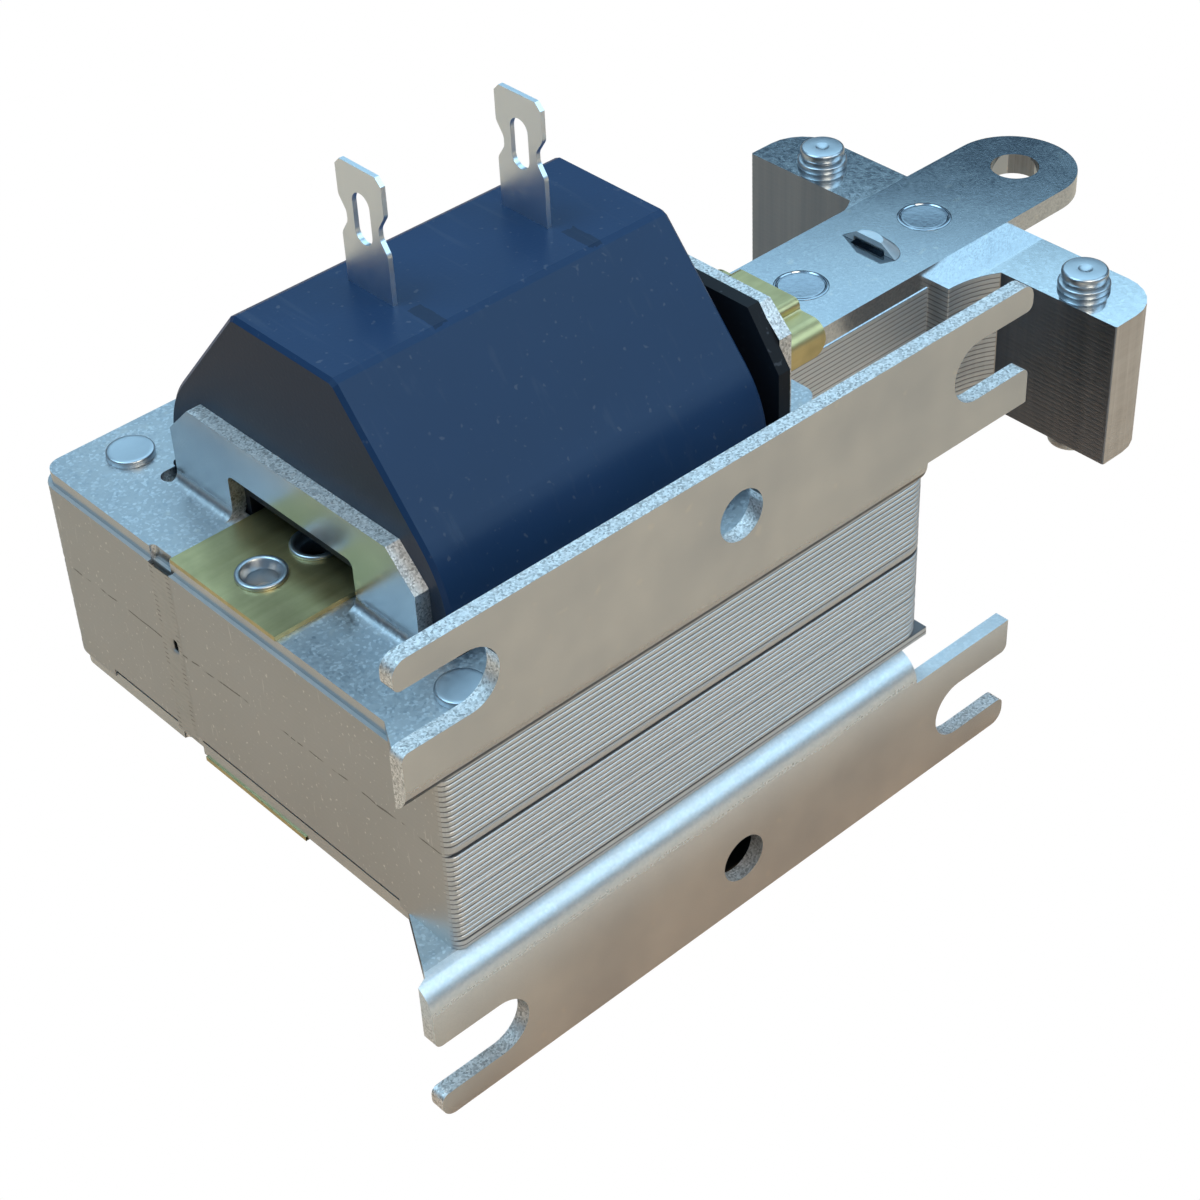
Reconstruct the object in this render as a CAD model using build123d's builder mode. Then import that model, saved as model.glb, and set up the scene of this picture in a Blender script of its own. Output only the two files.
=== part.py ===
from build123d import *
import os

os.makedirs("parts", exist_ok=True)

# Axes: X along the plunger, pull-out side positive; Y from the mounting face into the body; Z up.
# The origin is the middle of the mounting pattern, on the outer face of the flanges.

# Lamination stack
lamination = 0.585
upper_count = 14
lower_count = 18
end_sheet = 0.95
frame_near = -33.4
frame_length = 61.2
frame_width = 60.8
yoke_depth = 9.4
leg_width = 9.2
frame_corner = 3.0
mount_corner = 1.2
seam_width = 3.2
seam_depth = 0.5
seam_round = 0.45
seam_shift = 9.9
parting_height = 0.3
parting_depth = 0.45
leg_strip_width = 8.0

# Brackets
sheet = 1.6
bend_in = 1.6
stack_offset = 2.0
flange_half_length = 38.3
flange_edge = 6.2
flange_corner = 1.5
mount_spacing = 41.4
mount_hole = 5.2
slot_width = 6.5
slot_centre_spacing = 61.8
prong_corner = 0.8
plate_recess = 0.4
plate_back_recess = 1.1
plate_setback = 3.4
plate_corner = 1.8
taper_width = 7.5
taper_run = 1.1
opening_gap = 0.4
opening_corner = 1.0
upright_inset = 3.0
upright_bend = 1.2
near_upright_set = 0.6
near_band = 4.5
near_chamfer = 3.5
far_land = 1.3
far_band = 8.0
far_upright_inset = 0.8
far_chamfer_side = 2.8
far_chamfer_drop = 2.8
window_side_gap = 0.7
window_top_gap = 1.7
window_corner = 0.8
far_tab_reach = 2.9
far_tab_inset = 1.0
far_tab_corner = 2.2
relief_radius = 1.0
tongue_side_gap = 0.4
tongue_gap = 1.3

# Frame rivets
rivet_land = 3.45
rivet_near_set = 7.5
rivet_far_set = 9.8
rivet_shank = 3.4
rivet_head = 4.8
rivet_head_height = 0.7
rivet_head_bevel = 0.3

# Brass guides
guide_sheet = 0.5
guide_overlap = 0.15
guide_tongue_inset = 0.2
guide_side_gap = 0.35
guide_bend = 1.3
arch_rise = 1.2
arch_half = 4.5
arch_bend = 0.3
arch_run_in = 1.1
skirt_gap = 0.3
channel_gap = 0.6
guide_reach = 8.6
skirt_round = 1.6
eyelet_near_set = 4.4
eyelet_inner_set = 1.0
eyelet_flange = 5.0
eyelet_shank = 4.0
eyelet_bore = 3.0
eyelet_lip = 0.4
eyelet_curl = 4.6
eyelet_curl_depth = 0.5

# Coil
case_gap = 0.6
case_wall = 2.2
case_bevel = 0.4
roof_rise = 14.8
roof_half = 7.3
shoulder_drop = 0.6
shoulder_radius = 12.0
floor_wall = 3.2
floor_corner = 5.0
bore_side_gap = 0.35
bore_top_gap = 0.4
tube_wall = 1.2
winding_build = 4.2
winding_corner = 4.0
end_cover = 1.0
flange_wall = 1.2
flange_margin = 0.7
collar_wall = 1.5
collar_gap = 3.2
collar_inset = 2.0
collar_rise = 0.3
collar_side = 4.1
collar_drop = 5.7

# Terminals and leads
terminal_near_set = 11.25
terminal_spacing = 18.1
terminal_shift = 1.2
terminal_sheet = 0.5
terminal_width = 6.3
terminal_waist = 4.4
terminal_root_depth = 3.6
terminal_shoulder = 5.0
terminal_neck = 1.4
terminal_neck_height = 1.0
terminal_crown = 3.7
terminal_chamfer = 0.7
terminal_round = 0.9
terminal_slot = 2.4
terminal_slot_foot = 4.9
terminal_slot_length = 5.1
lead_radius = 0.5

# Shading rings
ring_bar = 1.5
ring_setback = 0.4
ring_outer = 3.0
ring_inner = 2.2

# Plunger
travel = 32.4
pole_gap = 0.3
head_depth = 8.3
head_width = 52.6
head_corner = 5.0
leg_half = 7.3
root_gap = 1.5
root_half = 9.1
root_flare = 1.8
groove_width = 1.2
groove_depth = 1.0
link_sheet = 2.4
link_gap = 0.81
link_inset = 0.15
link_setback = 5.8
link_corner = 1.5
pin_reach = 6.6
pin_hole = 5.4
tip_shift = 0.4
link_rivet_back = 15.0
link_rivet_spacing = 19.1
link_rivet_head = 5.9
link_rivet_shank = 4.0
link_rivet_taper = 0.8
link_rivet_proud = 0.12
bump_set = 2.6
bump_run = 2.7
bump_half = 3.8
bump_clear = 0.7
bump_crown = 0.45
bump_slit = 0.5
bump_slit_length = 4.4
bump_slit_depth = 1.2
stud_inset = 7.45
stud_set = 3.9
stud_shank = 4.0
stud_collar = 5.6
stud_collar_height = 0.75
stud_groove = 3.9
stud_groove_height = 0.6
stud_disc = 5.0
stud_disc_height = 0.85
stud_bevel = 0.35
stud_dimple = 1.6
stud_dimple_depth = 0.35

# Levels above the mid plane of the stack
half_stack = (upper_count + lower_count) * lamination / 2 + end_sheet
upper_height = upper_count * lamination
lower_height = lower_count * lamination
centre_top = half_stack - upper_height
gap_level = centre_top - end_sheet
plate_low = half_stack
plate_top = plate_low + sheet
guide_top = plate_top + guide_sheet
arch_top = guide_top + arch_rise
bore_top = arch_top + bore_top_gap
tube_top = bore_top + tube_wall
window_top = tube_top + window_top_gap
near_top = window_top + near_band
far_top = window_top + far_band
collar_top = far_top + collar_rise
link_top = plate_top - link_gap
plunger_half = link_top - link_sheet
skirt_low = plunger_half + skirt_gap
winding_top = tube_top + winding_build
case_roof = winding_top + roof_rise
case_floor = winding_top + floor_wall
mount_z = mount_spacing / 2
flange_reach = mount_z + flange_edge
bend_out = bend_in + sheet
bend_level = plate_low + bend_out
upright_out = upright_bend + sheet

# Half widths about the mid plane of the plunger
mid_y = stack_offset + frame_width / 2
frame_back = stack_offset + frame_width
plate_back = frame_back - plate_back_recess
window_half = frame_width / 2 - leg_width
case_half = window_half - case_gap
opening_half = case_half + opening_gap
upright_half = opening_half - upright_inset
far_upright_half = upright_half - far_upright_inset
far_tab_half = far_upright_half - far_tab_inset
guide_inner = leg_half + guide_side_gap
guide_outer = guide_inner + guide_sheet
bore_half = guide_outer + bore_side_gap
tube_half = bore_half + tube_wall
passage_half = bore_half + window_side_gap
tongue_half = bore_half - tongue_side_gap
guide_tongue_half = tongue_half - guide_tongue_inset
winding_half = case_half - case_wall
collar_half = case_half - collar_inset
link_half = leg_half - link_inset
head_half = head_width / 2

# Stations along the plunger
frame_far = frame_near + frame_length
window_near = frame_near + yoke_depth
plate_near = frame_near + plate_recess
plate_far = frame_far - plate_setback
taper_y = stack_offset + taper_width
near_inner = window_near + near_upright_set
near_outer = near_inner - sheet
near_bend_x = near_outer - upright_bend
far_bend_x = plate_far - far_land
far_outer = far_bend_x - upright_bend
far_inner = far_outer - sheet
far_tab_x = plate_far + far_tab_reach
collar_near = far_inner - collar_wall
case_far = collar_near - collar_gap
winding_near = near_inner + end_cover + flange_wall
winding_far = case_far - end_cover - flange_wall
head_inner = frame_far + pole_gap + travel
head_outer = head_inner + head_depth
leg_end = window_near + pole_gap + travel
link_near = leg_end + link_setback
root_near = far_inner + root_gap + travel
pin_x = head_outer + pin_reach
tip_x = pin_x - tip_shift
link_rivet_far = pin_x - link_rivet_back
link_rivet_near = link_rivet_far - link_rivet_spacing
bump_height = arch_top - guide_sheet - bump_clear - link_top
bump_x = root_near - bump_set
arch_near = bump_x - travel - bump_run - arch_run_in
stud_x = head_inner + stud_set
stud_y = head_half - stud_inset
stud_groove_low = plunger_half + stud_collar_height
stud_disc_low = stud_groove_low + stud_groove_height
stud_top = stud_disc_low + stud_disc_height
tongue_end = link_near - travel - tongue_gap
channel_near = tongue_end + channel_gap
guide_near = plate_near - guide_overlap
guide_far = frame_far + guide_reach
eyelet_near = plate_near + eyelet_near_set
eyelet_inner = near_inner + eyelet_inner_set
rivet_near = frame_near + rivet_near_set
rivet_far = frame_far - rivet_far_set
rivet_y = frame_width / 2 - leg_width + rivet_land
terminal_near_x = near_inner + terminal_near_set
terminal_far_x = terminal_near_x + terminal_spacing
terminal_y = mid_y + terminal_shift
ring_low = stack_offset + ring_outer
ring_high = stack_offset + leg_width - ring_inner
ring_far = frame_far - ring_setback

centre_line = Plane.XZ.offset(-mid_y)
rivet_spots = [(x, mid_y + s * rivet_y) for x in (rivet_near, rivet_far) for s in (-1, 1)]

# C-shaped sheet outline, window open at the far end
with BuildSketch() as frame_outline:
    with BuildLine():
        Polyline(
            (frame_near, stack_offset),
            (frame_far, stack_offset),
            (frame_far, mid_y - window_half),
            (window_near, mid_y - window_half),
            (window_near, mid_y + window_half),
            (frame_far, mid_y + window_half),
            (frame_far, frame_back),
            (frame_near, frame_back),
            close=True,
        )
    make_face()
    corners = frame_outline.vertices().group_by(Axis.Y)
    fillet(corners[-1], frame_corner)
    fillet(corners[0].sort_by(Axis.X)[-1], frame_corner)
    fillet(frame_outline.vertices().group_by(Axis.Y)[0].sort_by(Axis.X)[0], mount_corner)
    with Locations((frame_near, mid_y + seam_shift)):
        RectangleRounded(2 * seam_depth, seam_width, seam_round, mode=Mode.SUBTRACT)
    with Locations(*rivet_spots):
        Circle(rivet_shank / 2, mode=Mode.SUBTRACT)
    with Locations(*[(frame_far, mid_y + s * (mid_y - y)) for y in (ring_low, ring_high) for s in (-1, 1)]):
        Rectangle(2 * (ring_bar + ring_setback), ring_bar, mode=Mode.SUBTRACT)

# Upper half of the laminated frame
with BuildPart() as upper_pack:
    with BuildSketch(Plane.XY.offset(centre_top)):
        add(frame_outline.sketch)
    extrude(amount=upper_height)
upper_pack.part.label = "upper_lamination_pack"

# Thicker sheet between the halves
with BuildPart() as centre_plate:
    with BuildSketch(Plane.XY.offset(gap_level)):
        add(frame_outline.sketch)
    extrude(amount=end_sheet)
centre_plate.part.label = "centre_plate"

# Lower half, with a shallow parting groove along its upper edge on the sides and pole faces
with BuildPart() as lower_pack:
    with BuildSketch(Plane.XY.offset(gap_level - lower_height)):
        add(frame_outline.sketch)
    extrude(amount=lower_height)
    with BuildSketch(Plane.XY.offset(gap_level - parting_height)):
        with Locations(((frame_near + frame_far) / 2, mid_y)):
            Rectangle(frame_length + yoke_depth, frame_width + yoke_depth)
        with Locations((frame_far - parting_depth, mid_y)):
            RectangleRounded(
                frame_length + yoke_depth,
                frame_width - 2 * parting_depth,
                frame_corner - parting_depth,
                align=(Align.MAX, Align.CENTER),
                mode=Mode.SUBTRACT,
            )
    extrude(amount=parting_height, mode=Mode.SUBTRACT)
lower_pack.part.label = "lower_lamination_pack"

# Two strips under the side legs
with BuildPart() as leg_strips:
    with BuildSketch(Plane.XY.offset(-half_stack)):
        add(frame_outline.sketch)
        with Locations(((frame_near + frame_far) / 2, mid_y)):
            Rectangle(2 * frame_length, frame_width - 2 * leg_strip_width, mode=Mode.SUBTRACT)
    extrude(amount=end_sheet)
leg_strips.part.label = "leg_strips"

# Upper bracket: plate with the coil window, flange bent up, two uprights
with BuildPart() as top_bracket:
    with BuildSketch(Plane.YZ.offset(-flange_half_length)):
        with BuildLine():
            flange_front = Line((0, flange_reach), (0, bend_level))
            under_bend = TangentArc(flange_front @ 1, (bend_out, plate_low), tangent=flange_front % 1)
            plate_edge = Polyline(
                under_bend @ 1, (plate_back, plate_low), (plate_back, plate_top), (bend_out, plate_top)
            )
            over_bend = TangentArc(plate_edge @ 1, (sheet, bend_level), tangent=plate_edge % 1)
            Polyline(over_bend @ 1, (sheet, flange_reach), flange_front @ 0)
        make_face()
    extrude(amount=2 * flange_half_length)
    # Plan outline: slanted near edge, cut-back far edge with a tab under the far upright
    with BuildSketch(Plane.XY.offset(plate_low)) as plan:
        with BuildLine():
            Polyline(
                (-flange_half_length, -sheet),
                (flange_half_length, -sheet),
                (flange_half_length, sheet),
                (plate_far, sheet),
                (plate_far, mid_y - far_tab_half),
                (far_tab_x, mid_y - far_tab_half),
                (far_tab_x, mid_y + far_tab_half),
                (plate_far, mid_y + far_tab_half),
                (plate_far, plate_back),
                (plate_near, plate_back),
                (plate_near, taper_y),
                (-flange_half_length + taper_run, stack_offset),
                (-flange_half_length, sheet),
                close=True,
            )
        make_face()
        fillet(plan.vertices().group_by(Axis.Y)[-1], plate_corner)
        tab_ends = plan.vertices().filter_by_position(Axis.X, far_tab_x - 0.01, far_tab_x + 0.01)
        fillet(tab_ends, far_tab_corner)
        with Locations((plate_near, mid_y + seam_shift)):
            RectangleRounded(2 * seam_depth, seam_width, seam_round, mode=Mode.SUBTRACT)
    extrude(amount=flange_reach - plate_low, mode=Mode.INTERSECT)
    # Relief under the far ear, mounting hole and the two open slots
    with BuildSketch(Plane.XZ) as front:
        with Locations((plate_far, plate_low)):
            Rectangle(flange_half_length, bend_out, align=(Align.MIN, Align.MIN))
        with Locations((0, mount_z)):
            Circle(mount_hole / 2)
        with Locations((-flange_half_length, mount_z), (flange_half_length, mount_z)):
            SlotOverall(2 * flange_half_length - slot_centre_spacing + slot_width, slot_width)
    extrude(amount=sheet, both=True, mode=Mode.SUBTRACT)
    ear_edges = top_bracket.edges().filter_by(Axis.Y).filter_by_position(Axis.Z, mount_z, flange_reach)
    ear_ends = ear_edges.filter_by(lambda e: abs(abs(e.center().X) - flange_half_length) < 0.01)
    fillet(ear_ends.group_by(Axis.Z)[-1], flange_corner)
    prongs = top_bracket.edges().filter_by(Axis.Y).filter_by(
        lambda e: abs(abs(e.center().X) - flange_half_length) < 0.01
        and abs(abs(e.center().Z - mount_z) - slot_width / 2) < 0.01
    )
    fillet(prongs, prong_corner)
    # Coil window with a bend relief beside each end of the near upright
    with BuildSketch(Plane.XY.offset(plate_low)) as window:
        with Locations(((window_near + far_inner) / 2, mid_y)):
            RectangleRounded(far_inner - window_near, 2 * opening_half, opening_corner)
        with Locations(((near_bend_x + far_bend_x) / 2, mid_y)):
            Rectangle(far_bend_x - near_bend_x, 2 * upright_half)
        with Locations(
            (window_near, mid_y - upright_half - relief_radius),
            (window_near, mid_y + upright_half + relief_radius),
        ):
            SlotOverall(2 * (window_near - near_bend_x), 2 * relief_radius)
        with Locations((far_bend_x, mid_y)):
            Rectangle(2 * (far_tab_x - far_bend_x) + sheet, 2 * passage_half)
        with Locations(((near_bend_x + tongue_end) / 2, mid_y)):
            Rectangle(tongue_end - near_bend_x, 2 * tongue_half, mode=Mode.SUBTRACT)
    extrude(amount=sheet, mode=Mode.SUBTRACT)
    # Near upright
    with BuildSketch(centre_line):
        with BuildLine():
            near_foot = Line((near_bend_x, plate_top), (near_bend_x, plate_low))
            near_heel = TangentArc(near_foot @ 1, (near_inner, plate_low + upright_out), tangent=(1, 0))
            near_wall = Polyline(
                near_heel @ 1,
                (near_inner, near_top),
                (near_outer, near_top),
                (near_outer, plate_top + upright_bend),
            )
            TangentArc(near_foot @ 0, near_wall @ 1, tangent=(1, 0))
        make_face()
    extrude(amount=upright_half, both=True)
    # Far upright
    with BuildSketch(centre_line):
        with BuildLine():
            far_foot = Line((far_bend_x, plate_top), (far_bend_x, plate_low))
            far_heel = TangentArc(far_foot @ 1, (far_inner, plate_low + upright_out), tangent=(-1, 0))
            far_wall = Polyline(
                far_heel @ 1,
                (far_inner, far_top),
                (far_outer, far_top),
                (far_outer, plate_top + upright_bend),
            )
            TangentArc(far_foot @ 0, far_wall @ 1, tangent=(-1, 0))
        make_face()
    extrude(amount=far_upright_half, both=True)
    # Plunger passage through both uprights, clear of the tongue
    with BuildSketch(Plane.YZ.offset(near_inner)):
        with Locations((mid_y, plate_top)):
            Rectangle(2 * passage_half, window_top - plate_top, align=(Align.CENTER, Align.MIN))
    extrude(amount=near_bend_x - near_inner, mode=Mode.SUBTRACT)
    with BuildSketch(Plane.YZ.offset(far_inner)):
        with Locations((mid_y, plate_low)):
            Rectangle(2 * passage_half, window_top - plate_low, align=(Align.CENTER, Align.MIN))
    extrude(amount=far_bend_x - far_inner, mode=Mode.SUBTRACT)
    window_edges = top_bracket.edges().filter_by(Axis.X).filter_by_position(
        Axis.Z, window_top - 0.01, window_top + 0.01
    )
    fillet(window_edges, window_corner)
    near_ends = top_bracket.edges().filter_by(Axis.X).filter_by_position(
        Axis.Z, near_top - 0.01, near_top + 0.01
    )
    chamfer(near_ends, near_chamfer)
    with BuildSketch(Plane.YZ.offset(far_inner)):
        for side in (-1, 1):
            with BuildLine():
                Polyline(
                    (mid_y + side * far_upright_half, far_top),
                    (mid_y + side * far_upright_half, far_top - far_chamfer_drop),
                    (mid_y + side * (far_upright_half - far_chamfer_side), far_top),
                    close=True,
                )
            make_face()
    extrude(amount=sheet, mode=Mode.SUBTRACT)
    # Holes for rivets and eyelets
    with BuildSketch(Plane.XY.offset(plate_low)):
        with Locations(*rivet_spots):
            Circle(rivet_shank / 2)
        with Locations((eyelet_near, mid_y), (eyelet_inner, mid_y)):
            Circle(eyelet_shank / 2)
    extrude(amount=sheet, mode=Mode.SUBTRACT)
    with BuildSketch(Plane.XY.offset(plate_low)):
        with Locations((eyelet_near, mid_y), (eyelet_inner, mid_y)):
            Circle(eyelet_curl / 2)
    extrude(amount=eyelet_curl_depth, taper=45, mode=Mode.SUBTRACT)
top_bracket.part.label = "top_bracket"

# Lower bracket
with BuildPart() as bottom_bracket:
    mirror(top_bracket.part, about=Plane.XY)
bottom_bracket.part.label = "bottom_bracket"

# Four rivets through both plates and the stack
with BuildPart() as frame_rivets:
    with BuildSketch(Plane.XY.offset(-plate_top)):
        with Locations(*rivet_spots):
            Circle(rivet_shank / 2)
    extrude(amount=2 * plate_top)
    for level, rise in ((plate_top, rivet_head_height), (-plate_top, -rivet_head_height)):
        with BuildSketch(Plane.XY.offset(level)):
            with Locations(*rivet_spots):
                Circle(rivet_head / 2)
        extrude(amount=rise)
    rims = frame_rivets.edges().filter_by(GeomType.CIRCLE)
    chamfer(rims.group_by(Axis.Z)[0] + rims.group_by(Axis.Z)[-1], rivet_head_bevel)
frame_rivets.part.label = "frame_rivets"

# Bobbin: square tube with two inner flanges and the collar at the far upright
with BuildPart() as bobbin:
    with BuildSketch(Plane.YZ.offset(near_inner)):
        with Locations((mid_y, 0)):
            Rectangle(2 * tube_half, 2 * tube_top)
    extrude(amount=far_inner - near_inner)
    for station in (near_inner + end_cover, winding_far):
        with BuildSketch(Plane.YZ.offset(station)):
            with Locations((mid_y, 0)):
                RectangleRounded(
                    2 * (winding_half + flange_margin), 2 * (winding_top + flange_margin), winding_corner
                )
        extrude(amount=flange_wall)
    with BuildSketch(Plane.YZ.offset(collar_near)) as collar:
        with BuildLine():
            Polyline(
                (mid_y - collar_half, 0),
                (mid_y - collar_half, collar_top - collar_drop),
                (mid_y - collar_half + collar_side, collar_top),
                (mid_y + collar_half - collar_side, collar_top),
                (mid_y + collar_half, collar_top - collar_drop),
                (mid_y + collar_half, 0),
                close=True,
            )
        make_face()
        mirror(about=Plane.XZ)
    extrude(amount=collar_wall)
    with BuildSketch(Plane.YZ.offset(near_inner)):
        with Locations((mid_y, 0)):
            Rectangle(2 * bore_half, 2 * bore_top)
    extrude(amount=far_inner - near_inner, mode=Mode.SUBTRACT)
bobbin.part.label = "bobbin"

# Winding between the inner flanges
with BuildPart() as coil_winding:
    with BuildSketch(Plane.YZ.offset(winding_near)):
        with Locations((mid_y, 0)):
            RectangleRounded(2 * winding_half, 2 * winding_top, winding_corner)
            Rectangle(2 * tube_half, 2 * tube_top, mode=Mode.SUBTRACT)
    extrude(amount=winding_far - winding_near)
coil_winding.part.label = "coil_winding"

# Push-on terminals with a pierced, waisted blade
with BuildSketch() as blade:
    half = terminal_width / 2
    waist = terminal_waist / 2
    neck = case_roof + terminal_shoulder
    waist_foot = neck + terminal_neck
    waist_top = waist_foot + terminal_neck_height
    crown_foot = waist_top + terminal_neck
    crown = crown_foot + terminal_crown
    with BuildLine():
        Polyline(
            (terminal_y - half, case_roof - terminal_root_depth),
            (terminal_y - half, neck),
            (terminal_y - waist, waist_foot),
            (terminal_y - waist, waist_top),
            (terminal_y - half, crown_foot),
            (terminal_y - half, crown),
            (terminal_y + half, crown),
            (terminal_y + half, crown_foot),
            (terminal_y + waist, waist_top),
            (terminal_y + waist, waist_foot),
            (terminal_y + half, neck),
            (terminal_y + half, case_roof - terminal_root_depth),
            close=True,
        )
    make_face()
    chamfer(blade.vertices().group_by(Axis.Y)[-1], terminal_chamfer)
    fillet(blade.vertices().filter_by_position(Axis.Y, neck - 0.1, crown_foot + 0.1), terminal_round)
    with Locations((terminal_y, case_roof + terminal_slot_foot + terminal_slot_length / 2)):
        SlotOverall(terminal_slot_length, terminal_slot, rotation=90, mode=Mode.SUBTRACT)

with BuildPart() as terminal_near:
    with BuildSketch(Plane.YZ.offset(terminal_near_x)):
        add(blade.sketch)
    extrude(amount=terminal_sheet / 2, both=True)
terminal_near.part.label = "terminal_near"

with BuildPart() as terminal_far:
    with BuildSketch(Plane.YZ.offset(terminal_far_x)):
        add(blade.sketch)
    extrude(amount=terminal_sheet / 2, both=True)
terminal_far.part.label = "terminal_far"

# Two leads from the winding to the terminal roots
with BuildPart() as coil_leads:
    with BuildSketch(Plane.XY.offset(winding_top)):
        with Locations((terminal_near_x, terminal_y), (terminal_far_x, terminal_y)):
            Circle(lead_radius)
    extrude(amount=case_roof - terminal_root_depth - winding_top)
coil_leads.part.label = "coil_leads"

# Moulded case around the winding, roof-shaped towards the terminals
with BuildPart() as coil_case:
    with BuildSketch(Plane.YZ.offset(near_inner)) as section:
        with BuildLine():
            Polyline(
                (mid_y - case_half, -case_floor),
                (mid_y - case_half, winding_top - shoulder_drop),
                (mid_y - roof_half, case_roof),
                (mid_y + roof_half, case_roof),
                (mid_y + case_half, winding_top - shoulder_drop),
                (mid_y + case_half, -case_floor),
                close=True,
            )
        make_face()
        fillet(section.vertices().group_by(Axis.Y)[1], shoulder_radius)
        fillet(section.vertices().group_by(Axis.Y)[0], floor_corner)
        chamfer(section.vertices().group_by(Axis.Y)[-1], case_bevel)
    extrude(amount=case_far - near_inner)
    chamfer(coil_case.faces().sort_by(Axis.X)[0].edges(), case_bevel)
    chamfer(coil_case.faces().sort_by(Axis.X)[-1].edges(), case_bevel)
    add(bobbin.part, mode=Mode.SUBTRACT)
    add(coil_winding.part, mode=Mode.SUBTRACT)
    add(terminal_near.part, mode=Mode.SUBTRACT)
    add(terminal_far.part, mode=Mode.SUBTRACT)
    add(coil_leads.part, mode=Mode.SUBTRACT)
    with BuildSketch(Plane.YZ.offset(near_inner)):
        with Locations((mid_y, 0)):
            Rectangle(2 * tube_half, 2 * tube_top)
    extrude(amount=case_far - near_inner, mode=Mode.SUBTRACT)
coil_case.part.label = "coil_case"


def guide_section(inset, arched):
    """Channel outline at a depth below its outer skin, with or without the arch along the crown."""
    with BuildSketch(mode=Mode.PRIVATE) as section:
        with Locations((mid_y, skirt_low)):
            Rectangle(
                2 * (guide_outer - inset), guide_top - inset - skirt_low, align=(Align.CENTER, Align.MIN)
            )
        fillet(section.vertices().group_by(Axis.Y)[-1], guide_bend + guide_sheet - inset)
        if arched:
            with Locations((mid_y, skirt_low)):
                Rectangle(
                    2 * (arch_half - inset), arch_top - inset - skirt_low, align=(Align.CENTER, Align.MIN)
                )
            level = guide_top - inset
            feet = section.vertices().filter_by_position(Axis.Y, level - 0.01, level + 0.01)
            feet = feet.filter_by(lambda v: abs(abs(v.X - mid_y) - arch_half + inset) < 0.01)
            fillet(feet, arch_bend + inset)
            fillet(section.vertices().group_by(Axis.Y)[-1], arch_bend + guide_sheet - inset)
    return section.sketch


# Upper brass guide: strip over the plate, then a channel whose crown arches over the stop bump
with BuildPart() as upper_guide:
    with BuildSketch(Plane.XY.offset(plate_top)):
        with Locations((guide_near, mid_y)):
            Rectangle(channel_near - guide_near, 2 * guide_tongue_half, align=(Align.MIN, Align.CENTER))
    extrude(amount=guide_sheet)
    for near, far, outer_arched, inner_arched in (
        (channel_near, arch_near, False, False),
        (arch_near, arch_near + guide_sheet, True, False),
        (arch_near + guide_sheet, guide_far, True, True),
    ):
        with BuildSketch(Plane.YZ.offset(near)):
            add(guide_section(0, outer_arched))
            add(guide_section(guide_sheet, inner_arched), mode=Mode.SUBTRACT)
        extrude(amount=far - near)
    skirt_edges = upper_guide.edges().filter_by(Axis.Y).group_by(Axis.Z)[0]
    fillet(skirt_edges.group_by(Axis.X)[-1], skirt_round)
    with BuildSketch(Plane.XY.offset(plate_top)):
        with Locations((eyelet_near, mid_y), (eyelet_inner, mid_y)):
            Circle(eyelet_shank / 2)
    extrude(amount=guide_sheet, mode=Mode.SUBTRACT)
upper_guide.part.label = "upper_guide"

with BuildPart() as lower_guide:
    mirror(upper_guide.part, about=Plane.XY)
lower_guide.part.label = "lower_guide"

# Two eyelets through the guide and the plate, curled into the plate's countersinks
with BuildPart() as upper_guide_eyelets:
    with BuildSketch(Plane.XY.offset(plate_low)):
        with Locations((eyelet_near, mid_y), (eyelet_inner, mid_y)):
            Circle(eyelet_shank / 2)
    extrude(amount=guide_top - plate_low)
    with BuildSketch(Plane.XY.offset(guide_top)):
        with Locations((eyelet_near, mid_y), (eyelet_inner, mid_y)):
            Circle(eyelet_flange / 2)
    extrude(amount=eyelet_lip)
    chamfer(upper_guide_eyelets.edges().filter_by(GeomType.CIRCLE).group_by(Axis.Z)[-1], eyelet_lip / 2)
    with BuildSketch(Plane.XY.offset(plate_low)):
        with Locations((eyelet_near, mid_y), (eyelet_inner, mid_y)):
            Circle(eyelet_curl / 2)
    extrude(amount=eyelet_curl_depth, taper=45)
    with BuildSketch(Plane.XY.offset(plate_low)):
        with Locations((eyelet_near, mid_y), (eyelet_inner, mid_y)):
            Circle(eyelet_bore / 2)
    extrude(amount=guide_top + eyelet_lip - plate_low, mode=Mode.SUBTRACT)
    rims = upper_guide_eyelets.edges().filter_by(GeomType.CIRCLE).group_by(Axis.Z)[-1]
    chamfer(rims.sort_by(SortBy.RADIUS)[:2], eyelet_lip / 2)
upper_guide_eyelets.part.label = "upper_guide_eyelets"

with BuildPart() as lower_guide_eyelets:
    mirror(upper_guide_eyelets.part, about=Plane.XY)
lower_guide_eyelets.part.label = "lower_guide_eyelets"

# One closed copper ring in each pole face
with BuildPart() as shading_rings:
    for side in (-1, 1):
        ring_y = mid_y + side * (mid_y - (ring_low + ring_high) / 2)
        with BuildSketch(Plane.YZ.offset(ring_far - ring_bar)):
            with Locations((ring_y, 0)):
                RectangleRounded(ring_high - ring_low + ring_bar, 2 * (half_stack + ring_bar), ring_bar / 2)
                Rectangle(ring_high - ring_low - ring_bar, 2 * half_stack, mode=Mode.SUBTRACT)
        extrude(amount=ring_bar)
shading_rings.part.label = "shading_rings"

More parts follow.
